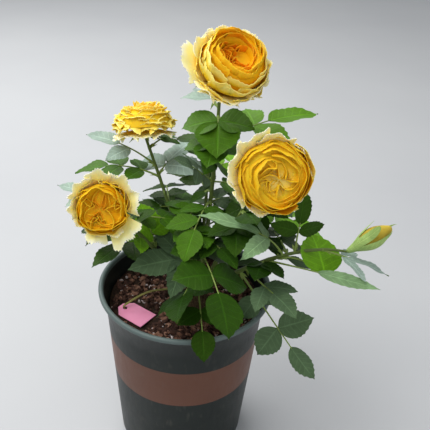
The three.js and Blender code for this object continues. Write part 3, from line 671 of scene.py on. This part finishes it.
def lumps(count, seed, size, flat, reach=73.0, clear=4.0):
    """Seeded grains on the peat: five rings of six, each grain stretched, flattened and turned
    its own way; none where the crown or the tag is, and all drawn in until they clear the wall."""
    rng = np.random.default_rng(seed)
    r = reach * np.sqrt(rng.uniform(0, 1, 3 * count))
    a = rng.uniform(0, 2 * np.pi, 3 * count)
    x, y = r * np.cos(a), r * np.sin(a)
    keep = np.flatnonzero(open_soil(x, y, clear))[:count]
    x, y = x[keep], y[keep]
    n = len(keep)
    lat = np.radians(np.array([-75, -35, 5, 40, 78]))
    ball = np.stack([raised(np.cos(b) * around(spokes(6)), np.sin(b)) for b in lat])
    grains = ball[None] * rng.uniform(0.72, 1.28, (n, 5, 6, 1))
    big = rng.uniform(size[0], size[1], (n, 1, 1, 1))
    grains = grains * big * np.stack([rng.uniform(0.8, 1.5, n), rng.uniform(0.45, 0.9, n),
                                      rng.uniform(flat[0], flat[1], n)], -1)[:, None, None]
    yaw, tilt = rng.uniform(0, 2 * np.pi, n), rng.normal(0, 0.35, n)
    cy, sy, ct, st = np.cos(yaw), np.sin(yaw), np.cos(tilt), np.sin(tilt)
    zero = np.zeros(n)
    turn = np.stack([np.stack([cy * ct, -sy, cy * st], -1), np.stack([sy * ct, cy, sy * st], -1),
                     np.stack([-st, zero, ct], -1)], -2)
    grains = np.einsum("nij,nabj->nabi", turn, grains)
    inside = float(pot_radius(SOIL["top"])) - POT["wall"] - SOIL["gap"]
    room = inside - np.hypot(grains[..., 0], grains[..., 1]).max((1, 2))
    x, y = np.array([x, y]) * np.minimum(room / np.hypot(x, y), 1)
    seat = np.stack([x, y, soil_level(x, y) + 0.3], -1)
    return (grains + seat[:, None, None])[open_soil(x, y, clear)]


def soil():
    """Peat filling the pot, topped by bark chips and perlite grains."""
    low = POT["floor"] + SOIL["gap"]
    wall = POT["wall"] + SOIL["gap"]
    side = [(pot_radius(z) - wall, z) for z in (low, 60, 110, 150, 158)]
    top = np.linspace(float(pot_radius(SOIL["top"])) - wall - 0.4, 0.6, 44)
    rings = lathe([(0.6, low)] + side + [(r, SOIL["top"] - 0.5) for r in top], SOIL["sides"])
    crust = rings[1 + len(side):]
    crust[..., 2] = soil_level(crust[..., 0], crust[..., 1])
    make_piece("peat_bed", [skin(rings)], ["peat"], ["soil"], crease=80)
    light, dark, perlite = (lumps(*row) for row in GRAINS.values())
    make_piece("bark_chips", [skin(light, mat=0), skin(dark, mat=1)], ["chip", "dark_chip"],
               crease=35)
    make_piece("perlite_grains", [skin(perlite)], ["perlite"], crease=60)


def tag():
    """A plate whose outline's two corners at the hole are clipped, as a closed loop of rows:
    down the hole, out along the underside, round the edge and back over the face."""
    long, wide, clip, thick, edge_round = (TAG[k] for k in ("long", "wide", "clip", "thick", "round"))
    corners = np.array([(0, -wide / 2), (long - clip, -wide / 2), (long, clip - wide / 2),
                        (long, wide / 2 - clip), (long - clip, wide / 2), (0, wide / 2)]) - [long / 2, 0]
    share = np.linspace(0, 1, 13)[:-1, None]
    edge = np.concatenate([a + (b - a) * share for a, b in zip(corners, np.roll(corners, -1, 0))])
    centre = np.array([long / 2 - TAG["hole_in"], 0])
    way = unit(edge - centre)
    hole = centre + TAG["hole"] * way
    inset = edge - edge_round * way
    out = [hole + (inset - hole) * s for s in np.linspace(0.2, 1, 6)]
    rows = [(hole, thick), (hole, 0)] + [(flat, 0) for flat in out]
    rows += [(edge, edge_round), (edge, thick - edge_round)] + [(flat, thick) for flat in out[::-1]]
    grid = np.stack([raised(flat, z) for flat, z in rows])
    grid[..., 2] += TAG["bow"] * (grid[..., 0] + long / 2) ** 1.6
    a = np.radians(TAG["turn"])
    spin = np.array([[np.cos(a), -np.sin(a)], [np.sin(a), np.cos(a)]])
    grid[..., :2] = grid[..., :2] @ spin.T + TAG["at"]
    grid[..., 2] += SOIL["top"] + SOIL["gap"]
    make_piece("plant_tag", [sheet(grid, wrap_rows=True)], ["tag"], ["tag"], crease=40, weld=True)


def tie():
    """A flat strip along a smooth curve through its points (uniform Catmull-Rom), with ribbed faces."""
    foot = 0.6
    away = (TAG["long"] / 2 - TAG["hole_in"]) * around(np.radians(TAG["turn"]))
    eye = np.array([*(away + TAG["at"]), SOIL["top"] + foot])
    stops = np.array([eye, eye + (0, 0, TIE["rise"] - foot), TIE["over"], TIE["dip"], TIE["end"]])
    p = np.concatenate([[2 * stops[0] - stops[1]], stops, [2 * stops[-1] - stops[-2]]])
    t = np.linspace(0, 1, 13)[:-1, None]
    spans = [0.5 * (2 * b + (c - a) * t + (2 * a - 5 * b + 4 * c - d) * t ** 2
                    + (3 * b - a - 3 * c + d) * t ** 3) for a, b, c, d in zip(p, p[1:], p[2:], p[3:])]
    path = np.concatenate(spans + [stops[-1:]])
    ways = unit(np.gradient(path, axis=0))
    side = unit(np.cross(ways, UP) + 1e-6)
    face = np.cross(side, ways)
    share = np.linspace(-1, 1, 7)
    ribs = TIE["thick"] / 2 * (1 + 0.25 * np.cos(share * 9))
    strip = path[:, None] + share[:, None] * side[:, None] * TIE["wide"] / 2
    lift = ribs[:, None] * face[:, None]
    rings = np.concatenate([strip + lift, (strip - lift)[:, ::-1]], 1)
    make_piece("raffia_tie", [skin(rings)], ["tie"], ["tag_tie"], weld=True)


def crown():
    """The knobbly crown: rings up a short line, swelling at its waist, with knobs, ridges and burrs."""
    rows, sides = CROWN["rows"], CROWN["sides"]
    t = np.linspace(0, 1, rows)
    foot = np.array([*CROWN["foot"], SOIL["top"] - 2.0])
    path = foot + (np.array(CROWN["top"], float) - foot) * t[:, None]
    swell = np.interp(t, np.linspace(0, 1, 5), CROWN["waist"])
    radius = (CROWN["wide"] + (CROWN["narrow"] - CROWN["wide"]) * t) * swell
    radius = radius * np.sqrt(np.clip(1 - np.clip((t - 0.86) / 0.16, 0, 1) ** 2, 0.05, 1))
    angle = spokes(sides)[None]
    shape = (1 + CROWN["knob"] * np.sin(3 * angle + 4 * t[:, None])
             + CROWN["ridge"] * np.sin(11 * angle + 5 * t[:, None]))
    rings = tube(path, np.tile(UP, (rows, 1)), radius, sides, shape)
    out = unit(rings - path[:, None] + 1e-6)
    burrs = 0.7 * ripple(rings, 5.0, 3) + 0.3 * ripple(rings, 1.8, 4)
    make_piece("crown_bark", [skin(rings + out * burrs[..., None])], ["bark"], ["main_stem"])


def rind(cane, start, end, steps, seed):
    """A tapering cane: radius falls evenly along it, with low knuckles, ridges and a slight sway."""
    curve = cane_curve(cane)
    t = np.linspace(start, end, steps)
    a, b = cane["thick"]
    knuckle = 0.16 * np.maximum(np.sin(t * 31 + seed), 0) ** 8
    radius = CANE_SHARE * (a + (b - a) * t) * (1 + knuckle)
    ridges = 1 + 0.035 * np.sin(3 * spokes(12) + 9 * t[:, None] + seed)
    return tube(bezier(curve, t), bezier_way(curve, t), radius, 12, ridges)


def thorns(cane, start, end, count, seed):
    """Prickles on a cane: cones on an oval foot, curving down towards the crown."""
    curve = cane_curve(cane)
    number = np.arange(count)
    t = start + (end - start) * (number + 0.5 + 0.3 * chance(seed, number)) / count
    at, way = bezier(curve, t), bezier_way(curve, t)
    a, b = cane["thick"]
    thick = CANE_SHARE * (a + (b - a) * t)[:, None]
    turn = np.radians(PRICKLE["turn"] * number + 40 * seed)
    side = unit(np.cross(way, [0.31, 0.9, 0.12]))
    out = side * np.cos(turn)[:, None] + np.cross(way, side) * np.sin(turn)[:, None]
    wide = np.cross(way, out)
    long = (PRICKLE["long"] + PRICKLE["vary"] * chance(seed, number + 9))[:, None]
    share = np.linspace(0, 1, 5)
    angle = spokes(6)[:, None]
    rise = out[:, None] * (long * share)[..., None]
    droop = way[:, None] * (long * PRICKLE["droop"] * share ** 2)[..., None]
    core = (at + out * (thick * 0.7))[:, None] + rise - droop
    size = PRICKLE["foot"] * (1 - share) ** 1.2 + PRICKLE["point"]
    ring = np.cos(angle) * way[:, None, None] * 1.5 + np.sin(angle) * wide[:, None, None]
    rings = core[:, :, None] + ring * size[None, :, None, None]
    return flipped(skin(rings, mat=2))


def half_breadth(share, length, breadth):
    """Half a blade's breadth: a sine over the share to the power 0.8, filled out."""
    return 0.5 * breadth * length * np.maximum(np.sin(np.pi * share ** 0.8), 0) ** 0.75


def leaflet(base, along, side, face, length, breadth, seed, mat, under, teeth=8):
    """One blade: a spine arched by the square of its share, a drawn-out tip, forward teeth, halves
    lifted from the midrib as a shallow V, and edges that wave as a sine. Three points run across its
    upper face and one lies under its midrib, so that it thins to nothing at the margin."""
    n = 2 * teeth + 2
    x = np.linspace(0, 1, n)
    out = (np.arange(n) % 2) * np.sin(np.pi * x) ** 0.4
    notch = min(0.018, 0.045 * breadth) * length
    smooth = half_breadth(x, length, breadth) * (1 - 0.75 * x ** 8)
    half = np.maximum(smooth, 0.4) + notch * out
    half[-1] = 0.12
    u = np.array([-1, 0, 1])
    lead = 1.4 * notch * out[:, None] * np.abs(u)
    fold = 0.13 + 0.07 * chance(seed, 1)
    wave = 0.02 * length * np.sin(2 * np.pi * x[:, None] * 1.7 + 3 * chance(seed, 2) + 1.2 * u)
    curl = 0.03 * length * chance(seed, 3) * x[:, None] ** 3
    lift = (fold * half[:, None] + wave) * np.abs(u) + curl - 0.16 * length * x[:, None] ** 2
    top = (base + along * (length * x[:, None] + lead)[..., None]
           + side * (half[:, None] * u)[..., None] + face * lift[..., None])
    rings = np.concatenate([top, top[:, 1:2] - LEAF_THICK * face], 1)
    uv = np.stack(np.broadcast_arrays(x[:, None], np.append(0.5 + 0.5 * u, 0.5)[None]), -1)
    return skin(rings, uv, mat, under, 2)


def leaf_plan(name):
    """The leaves of a cane as rows: the pinned ones, then those of its own spiral."""
    cane = CANES[name]
    key = list(CANES).index(name)
    rows = [(row[:10], row[10], (0,)) for row in cane["pinned"]]
    leaves, start, end, azimuth, blade = cane["free"]
    for k in range(leaves):
        row = (start + (end - start) * (k + 0.5) / leaves,
               azimuth + FREE["turn"] * k + FREE["scatter"] * chance(key, k),
               FREE["rise"] + FREE["lift"] * chance(key, k + 20), FREE["droop"],
               FREE["stalk"] + FREE["reach"] * chance(key, k + 40),
               FREE["roll"] * chance(key, k + 60), blade * (1 + FREE["vary"] * chance(key, k + 80)),
               FREE["leaflets"], FREE["fan"], FREE["breadth"])
        rows.append((row, FREE_TONES[(3 * key + k) % len(FREE_TONES)], FREE["detours"]))
    return rows


def leaflet_plan(stalk, row):
    """Base, direction, face and size of each leaflet: pairs fanned along the stalk, one at its end."""
    roll, size, count, fan = row[5:9]
    found = []
    for share, part in zip(PAIRS[count], PAIR_SIZES[count]):
        along = bezier_way(stalk, share)
        side, face = leaf_axes(along, roll)
        for hand in (1, -1):
            a = np.radians(hand * fan)
            found.append((bezier(stalk, share), along * np.cos(a) + side * np.sin(a), face, size * part))
    along = bezier_way(stalk, 1.0)
    side, face = leaf_axes(along, roll)
    a = np.radians(fan if count == 1 else 0)
    found.append((bezier(stalk, 1.0) - 1.5 * along, along * np.cos(a) + side * np.sin(a), face, size))
    return found


def held(tree, blade):
    """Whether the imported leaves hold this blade: its midrib lies near them at three places."""
    base, along, face, size = blade
    spots = [base + along * size * share - face * 0.16 * size * share ** 2 for share in (0.3, 0.5, 0.72)]
    hits = [tree.find_nearest(Vector(spot * MM)) for spot in spots]
    return all(hit[0] is not None and hit[3] <= HELD_WITHIN * MM for hit in hits)


def cuts(part, tree):
    """Whether a part in millimetres cuts through the tree of a finished piece."""
    return bool(BVHTree.FromPolygons((part[0] * MM).tolist(), part[1].tolist()).overlap(tree))


def foliage(name, bloom=None):
    """The leaves of one cane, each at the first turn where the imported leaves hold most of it, on a
    stalk with two stipules; with the leafy stretch of the cane, its prickles, and its hip. A leaflet
    that would cut into the cane's own bloom is left out."""
    cane = CANES[name]
    key = list(CANES).index(name)
    curve = cane_curve(cane)
    tree = tree_of(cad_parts[f"leaves_{name}"])
    tones = list(TONES)
    blades, stems = [], []
    for number, (row, tone, detours) in enumerate(leaf_plan(name)):
        base = bezier(curve, max(row[0], cane["bare"] + 0.03))
        stalk, present = None, []
        for detour in detours:
            tried = stalk_curve(base, row[1] + detour, row[2], row[3], row[4])
            found = [blade for blade in leaflet_plan(tried, row) if held(tree, blade)]
            if len(found) > len(present):
                stalk, present = tried, found
        if not present:
            continue
        t = np.linspace(0, 1, 12)
        radius = 1.0 - 0.45 * t + 0.5 * np.exp(-t * 14)
        stems.append(skin(tube(bezier(stalk, t), bezier_way(stalk, t), radius, 8), mat=1))
        way = bezier_way(stalk, 0.05)
        side, face = leaf_axes(way, row[5])
        for hand in (1, -1):
            wing = unit(way + STIPULE["spread"] * hand * side)
            stems.append(leaflet(base + way, wing, np.cross(wing, face), face, STIPULE["long"],
                                 STIPULE["breadth"], number, 1, 1, 3))
        for order, (root, along, up, size) in enumerate(present):
            seed = 17 * key + 5 * number + order
            slim = SLIM_ENDS.get((name, number), 1) if order == len(present) - 1 else 1
            blade = leaflet(root, along, np.cross(along, up), up, size, row[9] * slim, seed,
                            tones.index(tone), len(tones))
            if bloom is None or not cuts(blade, bloom):
                blades.append(blade)
    stems += [skin(rind(cane, cane["bare"], 1.0, 44, key)), thorns(cane, cane["bare"], 0.85, 5, key)]
    bough = [skin(rind(cane, 0.0, cane["bare"], 18, key)), thorns(cane, 0.1, cane["bare"], 2, key)]
    if name in ROSES:
        stems += hip(name)
    make_piece(f"blades_{name}", blades, [f"leaf_{t}" for t in tones] + ["under"],
               [f"leaves_{name}"], crease=70)
    make_piece(f"stems_{name}", stems, ["rind", "stalk", "stalk", "calyx"],
               [f"leaves_{name}"], crease=60)
    make_piece(f"bough_{name}", bough, ["rind", "rind", "stalk"], [f"cane_{name}"], crease=60)


def sepal(foot, axis, out, ring, length, breadth, lean, seed):
    """A narrow pointed blade that leaves a ring round the axis and bends outwards."""
    along = unit(axis * (1 - lean) + out * lean)
    across = unit(np.cross(along, out + axis * lean))
    face = np.cross(across, along)
    side = np.cross(along, face)
    return leaflet(foot + out * ring, along, side, face, length, breadth, seed, 3, 3, 5)


def hip(name):
    """The swollen hip under a rose and its five sepals, bent back."""
    rose, tip = ROSES[name], np.array(CANES[name]["tip"], float)
    axis = heading(rose["azimuth"], rose["rise"])
    parts = [skin(lathe(HIP["outline"], 20, tip, axis), mat=3)]
    side, face = leaf_axes(axis, 0)
    long = HIP["sepal"] * rose["wide"]
    for k in range(5):
        a = 2 * np.pi * (k + 0.25) / 5
        out = side * np.cos(a) + face * np.sin(a)
        parts.append(sepal(tip + axis, axis, out, 1.6, long, HIP["breadth"], HIP["lean"], k))
    return parts


def two_faced(front, back, v, u):
    """Rings that run along a front and home along its back, with v and (1 + u) / 2 as their UV."""
    across = np.concatenate([u, u[:, ::-1]], 1) * 0.5 + 0.5
    return np.concatenate([front, back[:, ::-1]], 1), np.stack(np.broadcast_arrays(v, across), -1)


def petal(turn, span, radii, heights, fold=0.0, curl=0.0, ruffle=1.0, tooth=0.8, corner=3.0,
          skew=0.0, swirl=0.0, seed=0.0, mat=0, rows=12, cols=27):
    """One petal about +Z. v climbs, u runs across from -1 to 1.
    radius = Bezier of radii + fold |u|^1.6 v^0.8 + curl v^5 + skew u v^2 / 2 + ruffles; height = Bezier
    of heights - corner |u|^3 v^2 + 0.35 skew u v + ruffles; teeth lengthen the rim the way it points;
    angle = turn + span u w(v) + swirl |u|^1.6, w widening from the foot."""
    v = np.linspace(0, 1, rows)[:, None]
    u = np.linspace(-1, 1, cols)[None, :]
    w = 0.5 + 0.5 * np.sin(np.pi / 2 * np.minimum(v / 0.7, 1))
    column = np.arange(cols)
    saw = (column % 2) * (0.55 + 0.45 * chance(seed, column + 30)) + 0.7 * chance(seed, column // 5 + 60)
    jag = tooth * (saw - 0.3) * v ** 9
    lead = unit(np.array([radii[2] - radii[1], heights[2] - heights[1]]) + 1e-6)
    waves = np.sin(4.4 * u + 3 * chance(seed, 1)) + 0.6 * np.sin(9 * u + 3 * chance(seed, 2))
    radius = bezier(radii, v[:, 0])[:, None] + fold * np.abs(u) ** 1.6 * v ** 0.8 + curl * v ** 5
    radius = radius + 0.5 * skew * u * v ** 2 + lead[0] * jag + ruffle * v ** 3 * waves
    height = bezier(heights, v[:, 0])[:, None] - corner * np.abs(u) ** 3 * v ** 2 + 0.35 * skew * u * v
    height = height + lead[1] * jag + 0.8 * ruffle * v ** 3 * np.sin(3.6 * u + 3 * chance(seed, 4))
    angle = np.radians(turn + span * w * u + swirl * np.abs(u) ** 1.6)
    front = np.stack([radius * np.cos(angle), radius * np.sin(angle), height + 0 * angle], -1)
    normal = unit(np.cross(np.gradient(front, axis=1), np.gradient(front, axis=0)) + 1e-9)
    return skin(*two_faced(front, front - normal * PETAL_THICK, v, u), mat)


# Whorls of a rose from the outside in: petals, rim radius and rim height as shares of the bowl,
# belly radius and height as shares, half width in degrees, curl at the rim, teeth, colour, first turn.
GUARD, LEMON, GOLD, AMBER = range(4)
WHORLS = {
    "top": [
        (7, 1.02, 0.56, 1.14, 0.34, 38, 1.8, 1.4, LEMON, 10),
        (6, 0.95, 0.80, 1.14, 0.46, 42, 1.3, 1.2, LEMON, 45),
        (5, 0.85, 0.94, 1.08, 0.58, 48, 1.0, 1.1, LEMON, 5),
        (5, 0.73, 1.00, 0.98, 0.66, 50, 0.7, 1.0, GOLD, 60),
        (4, 0.61, 1.00, 0.86, 0.70, 60, 0.5, 0.9, GOLD, 35),
        (4, 0.50, 0.94, 0.74, 0.68, 60, 0.3, 0.9, AMBER, 90),
    ],
    "right": [
        (6, 1.00, 0.70, 1.14, 0.36, 46, 1.0, 1.5, LEMON, 20),
        (5, 0.92, 0.84, 1.12, 0.48, 54, 0.4, 1.0, GOLD, 50),
        (4, 0.81, 0.93, 1.04, 0.58, 64, 0.0, 0.8, GOLD, 15),
        (4, 0.68, 0.97, 0.94, 0.66, 64, 0.0, 0.8, GOLD, 60),
        (3, 0.54, 0.98, 0.82, 0.72, 78, 0.0, 0.8, GOLD, 30),
    ],
    "left": [
        (6, 0.99, 0.78, 1.12, 0.36, 46, 1.0, 1.6, LEMON, 0),
        (5, 0.91, 0.90, 1.08, 0.48, 54, 0.3, 1.2, GOLD, 30),
        (4, 0.80, 0.96, 1.00, 0.58, 62, 0.0, 1.0, GOLD, 10),
    ],
    "back": [
        (9, 1.14, 0.10, 0.98, 0.34, 27, 1.0, 1.0, LEMON, 0),
        (10, 1.14, 0.26, 1.00, 0.42, 25, 1.4, 1.0, LEMON, 22),
        (10, 1.10, 0.41, 0.98, 0.50, 25, 1.2, 1.0, LEMON, 5),
        (10, 1.02, 0.55, 0.94, 0.56, 25, 1.0, 1.0, LEMON, 30),
        (9, 0.92, 0.67, 0.86, 0.60, 27, 0.8, 1.0, LEMON, 0),
        (8, 0.79, 0.76, 0.76, 0.62, 29, 0.6, 1.0, LEMON, 24),
        (7, 0.63, 0.81, 0.62, 0.64, 32, 0.4, 1.0, LEMON, 10),
        (5, 0.45, 0.83, 0.46, 0.64, 40, 0.2, 1.0, LEMON, 30),
    ],
}
# The folded heart: sectors, folds in each, outer radius share, height share, swirl in degrees,
# colour, first turn.
HEARTS = {
    "top": (3, 3, 0.46, 0.78, 26, AMBER, 70), "right": (4, 4, 0.46, 0.94, 30, GOLD, 30),
    "left": (5, 4, 0.74, 0.86, 34, AMBER, 20), "back": (4, 2, 0.32, 0.80, 10, GOLD, 20),
}
# Guard petals, each: turn, half width in degrees, how far the rim flares past the bowl, rim height.
GUARDS = {
    "top": [
        (190, 30, 13, 29), (226, 30, 7, 25), (262, 32, 5, 22), (298, 32, 4, 25), (338, 34, 3, 31),
        (22, 34, 3, 34), (70, 34, 3, 38), (120, 34, 4, 37), (158, 30, 5, 36),
    ],
    "right": [
        (205, 30, 4, 30), (170, 30, 5, 33), (132, 30, 5, 34), (95, 30, 2, 34), (50, 34, -1, 26),
        (5, 34, -1, 24), (320, 34, -1, 23), (280, 32, 0, 23), (242, 32, 2, 27),
    ],
    "left": [
        (318, 25, 15, 24), (268, 18, 9, 24), (228, 28, 3, 25), (185, 28, 4, 27), (145, 28, 6, 29),
        (100, 28, 8, 29), (62, 26, 8, 29), (22, 28, 8, 27), (290, 28, 4, 24),
    ],
    "back": [(turn, 26, 4, -4) for turn in range(0, 360, 40)],
}
GUARD_BELLY, GUARD_TEETH, GUARD_RUFFLE = 0.8, 2.2, 1.5


def leaned(points, spec):
    """Carries a bloom's middle aside: by the height share^1.4 times a part that grows from the rim
    inwards, and raises the side that it leaves."""
    turn, shift, rise = spec["lean"]
    way = around(np.radians(turn))
    r = spec["wide"] / 2
    share = np.clip(points[:, 2] / spec["deep"], 0, 1.2) ** 1.4
    inner = 1 - np.clip(np.hypot(points[:, 0], points[:, 1]) / (1.1 * r), 0, 1) ** 2
    moved = points.copy()
    moved[:, :2] += (shift * share * (0.15 + 0.85 * inner))[:, None] * way
    moved[:, 2] -= rise * share * (points[:, :2] @ way) / r
    return moved


def rose(name):
    """An open rose: loose guard petals, whorls that lean in more and more, a heart of petals folded
    like hairpins and nested in sectors, and a core that follows just under all their rims.
    Returns its faces as a tree, for what has to keep clear of it."""
    spec = ROSES[name]
    r, deep = spec["wide"] / 2, spec["deep"]
    key = list(ROSES).index(name) + 1
    vary = 0.10 if name == "back" else 0.05
    parts = []
    for k, (turn, width, flare, top) in enumerate(GUARDS[name]):
        parts.append(petal(turn, width, (3, r + 1 + 0.1 * flare, r + flare), (1.5, GUARD_BELLY * top, top),
                           curl=0.8, ruffle=GUARD_RUFFLE, tooth=GUARD_TEETH, corner=4,
                           skew=3 * chance(k, key), seed=key * 40 + k, mat=GUARD, rows=14, cols=31))
    for ring, (count, rim, top, belly, low, span, curl, tooth, mat, first) in enumerate(WHORLS[name]):
        for k in range(count):
            seed = key * 100 + ring * 10 + k
            turn = first + 360 * k / count + 14 * chance(seed, 6)
            size = 1 + vary * chance(seed, 7)
            rise = 1 + vary * chance(seed, 8)
            half = span * (1 + 0.12 * chance(seed, 9))
            parts.append(petal(turn, half, (2.5, belly * r, rim * r * size),
                               (2 + 0.5 * ring, low * deep, top * deep * rise), curl=curl,
                               ruffle=max(1.3 - 0.12 * ring, 0.8), tooth=tooth,
                               corner=4.0 - 0.4 * ring, skew=0.07 * span, seed=seed, mat=mat))
    sectors, folds, reach, top, swirl, mat, first = HEARTS[name]
    for s in range(sectors):
        for k in range(folds):
            seed = key * 300 + s * 10 + k
            turn = first + 360 * (s + 0.3 * chance(key, s) + 0.2 * chance(seed, 1)) / sectors
            inner = (0.08 + 0.8 * (k + 0.3 * chance(seed, 5)) / folds) * reach * r
            half = (185 / sectors) * (1 - 0.55 * (k / folds)) * (1 + 0.2 * chance(seed, 3))
            parts.append(petal(turn, half, (1.5, inner + 2.5, max(inner, 0.8)),
                               (0.3 * deep, 0.6 * deep, (top + 0.07 * chance(seed, 2)) * deep),
                               fold=max(reach * r * 1.04 - inner, 0.5), curl=0.5, ruffle=0.5, tooth=0.9,
                               corner=1.6, skew=2.5 * chance(seed, 4),
                               swirl=swirl * np.sign(chance(seed, 9) + 0.4), seed=seed,
                               mat=GOLD if name == "left" and k > 0 else mat, rows=9, cols=19))
    rims = [(rim * r, (high - 0.09) * deep) for _, rim, high, *_ in WHORLS[name][1:] if rim > reach]
    core = [(0.5, 1.0), (4, 2.0), (0.55 * r, 0.25 * deep), (0.8 * r, 0.45 * deep), *rims,
            (reach * r, (top - 0.05) * deep), (0.5 * reach * r, (top - 0.07) * deep),
            (0.5, (top - 0.08) * deep)]
    parts.append(skin(lathe(core, 40), mat=GOLD if name in ("top", "left") else LEMON))
    axis = heading(spec["azimuth"], spec["rise"])
    foot = np.array(CANES[name]["tip"], float) + axis * (HIP["height"] + 0.3)
    turn = np.array(Vector(UP).rotation_difference(Vector(axis)).to_matrix())
    parts = [(leaned(points, spec) @ turn.T + foot, *rest) for points, *rest in parts]
    return tree_of(make_piece(f"bloom_{name}", parts, ["guard", "lemon", "gold", "amber"],
                              [f"rose_{name}"], crease=60))


def bud():
    """The closed bud: petals wrapped in a spiral on a long egg, in a conical calyx whose five sepals
    lie along it, with one drawn out past the tip and one hooked back."""
    axis = heading(BUD["azimuth"], BUD["rise"])
    foot = np.array(CANES["bud"]["tip"], float) + axis * 0.3
    side = leaf_axes(axis, 0)[0]
    rows, sides = BUD["rows"], BUD["sides"]
    z = BUD["start"] + np.linspace(0, 1, rows) * BUD["long"]
    read = lambda h: np.interp(h, BUD["heights"], BUD["shares"]) * BUD["wide"] / 2
    radius = (read(z - 2.4) + read(z - 0.8) + read(z + 0.8) + read(z + 2.4)) / 4
    radius[-1] = 0.4
    turns = (spokes(sides)[None] * 3 / (2 * np.pi) + np.linspace(0, 1.2, rows)[:, None]) % 1
    wrap = 1 + 0.09 * (turns - 0.5) * np.clip((z[:, None] - 12) / 8, 0, 1)
    path = foot + axis * z[:, None]
    egg = skin(tube(path, np.tile(axis, (rows, 1)), radius * 0.96, sides, wrap), mat=0)
    heights = np.linspace(1.5, BUD["cup"], 12)
    cup = [(0.6, -0.2), (1.7, 0.2), *zip(read(heights) + 0.35, heights), (0.5, BUD["cup"] - 0.2)]
    parts = [egg, skin(lathe(cup, 32, foot, axis), mat=1)]
    v = np.linspace(0, 1, 30)[:, None]
    u = np.linspace(-1, 1, 9)[None]
    for turn, reach, wide, lean, tail in BUD["sepals"]:
        high = 9 + (reach - 9) * v
        away = np.interp(high, z, radius) + 0.55 + lean * np.maximum(v - 0.45, 0) ** 2 * 12
        width = np.radians(wide) * (1 - v ** 1.8) ** 0.8 + 0.03
        a = np.radians(turn) + width * u
        slim = 0.9 * (1 - v) + 0.3
        out = side * np.cos(a)[..., None] + np.cross(axis, side) * np.sin(a)[..., None]
        front = foot + out * away[..., None] + axis * (high + 0 * u)[..., None]
        front = front + axis * ((v > 0.8) * (v - 0.8) * tail)[..., None]
        parts.append(skin(*two_faced(front, front - out * slim[..., None] * 0.5, v, u), 1))
    make_piece("rose_bud_closed", parts, ["bud_petal", "bud_calyx"], ["rose_bud"], crease=60)


def floor_and_light():
    """A plain pale floor, soft lamps above left and behind, a weak one in front, and a pale sky."""
    half = 3.0
    mesh = bpy.data.meshes.new("studio_floor")
    corners = [(-half, -half, 0), (half, -half, 0), (half, half, 0), (-half, half, 0)]
    mesh.from_pydata(corners, [], [(0, 1, 2, 3)])
    ground = bpy.data.objects.new("studio_floor", mesh)
    f = Finish("floor_paint", "#b9babb", 0.7, 0.3)
    cloud = f.add("TexNoise", {"Vector": f.here, "Scale": per_metre(333.33), "Detail": 3.0})
    grit = f.add("TexNoise", {"Vector": f.here, "Scale": per_metre(4.1667), "Detail": 3.0})
    grey = f.add("Mix", {0: cloud, 6: "#b3b4b6", 7: "#bfc0c0"}, **COLOURS)
    mesh.materials.append(f.wear(grey, None, grit, 0.2, 0.3))
    bpy.context.scene.collection.objects.link(ground)
    lamps = [("key_lamp", (-0.6, -0.35, 1.5), 1.0, 14.0), ("window_lamp", (-0.7, 0.9, 1.4), 1.4, 26.0),
             ("fill_lamp", (0.9, -0.9, 0.8), 1.2, 3.0)]
    heart = Vector((0.0, 0.0, 0.25))
    for name, place, size, power in lamps:
        light = bpy.data.lights.new(name, "AREA")
        light.size, light.energy = size, power
        lamp = bpy.data.objects.new(name, light)
        aim = (heart - Vector(place)).to_track_quat("-Z", "Y").to_matrix().to_4x4()
        lamp.matrix_world = Matrix.Translation(place) @ aim
        bpy.context.scene.collection.objects.link(lamp)
    world = bpy.data.worlds.new("pale_sky")
    world.use_nodes = True
    sky = world.node_tree.nodes["Background"].inputs
    sky[0].default_value, sky[1].default_value = srgb("#dfe3e8"), 0.55
    bpy.context.scene.world = world
    bpy.context.scene.view_settings.view_transform = "Standard"


def camera():
    """The photograph's camera, set where its view was solved."""
    view = bpy.data.cameras.new("photo_camera")
    view.lens, view.sensor_width, view.sensor_fit = LENS, 36.0, "HORIZONTAL"
    obj = bpy.data.objects.new("photo_camera", view)
    obj.matrix_world = (Matrix.Translation(EYE) @ Matrix.Rotation(radians(90 - LOOK_DOWN), 4, "X")
                        @ Matrix.Rotation(radians(ROLL), 4, "Z"))
    bpy.context.scene.collection.objects.link(obj)
    bpy.context.scene.camera = obj


camera()
floor_and_light()
pot()
soil()
tag()
tie()
crown()
for cane_name in CANES:
    foliage(cane_name, rose(cane_name) if cane_name in ROSES else None)
bud()

bpy.context.view_layer.update()
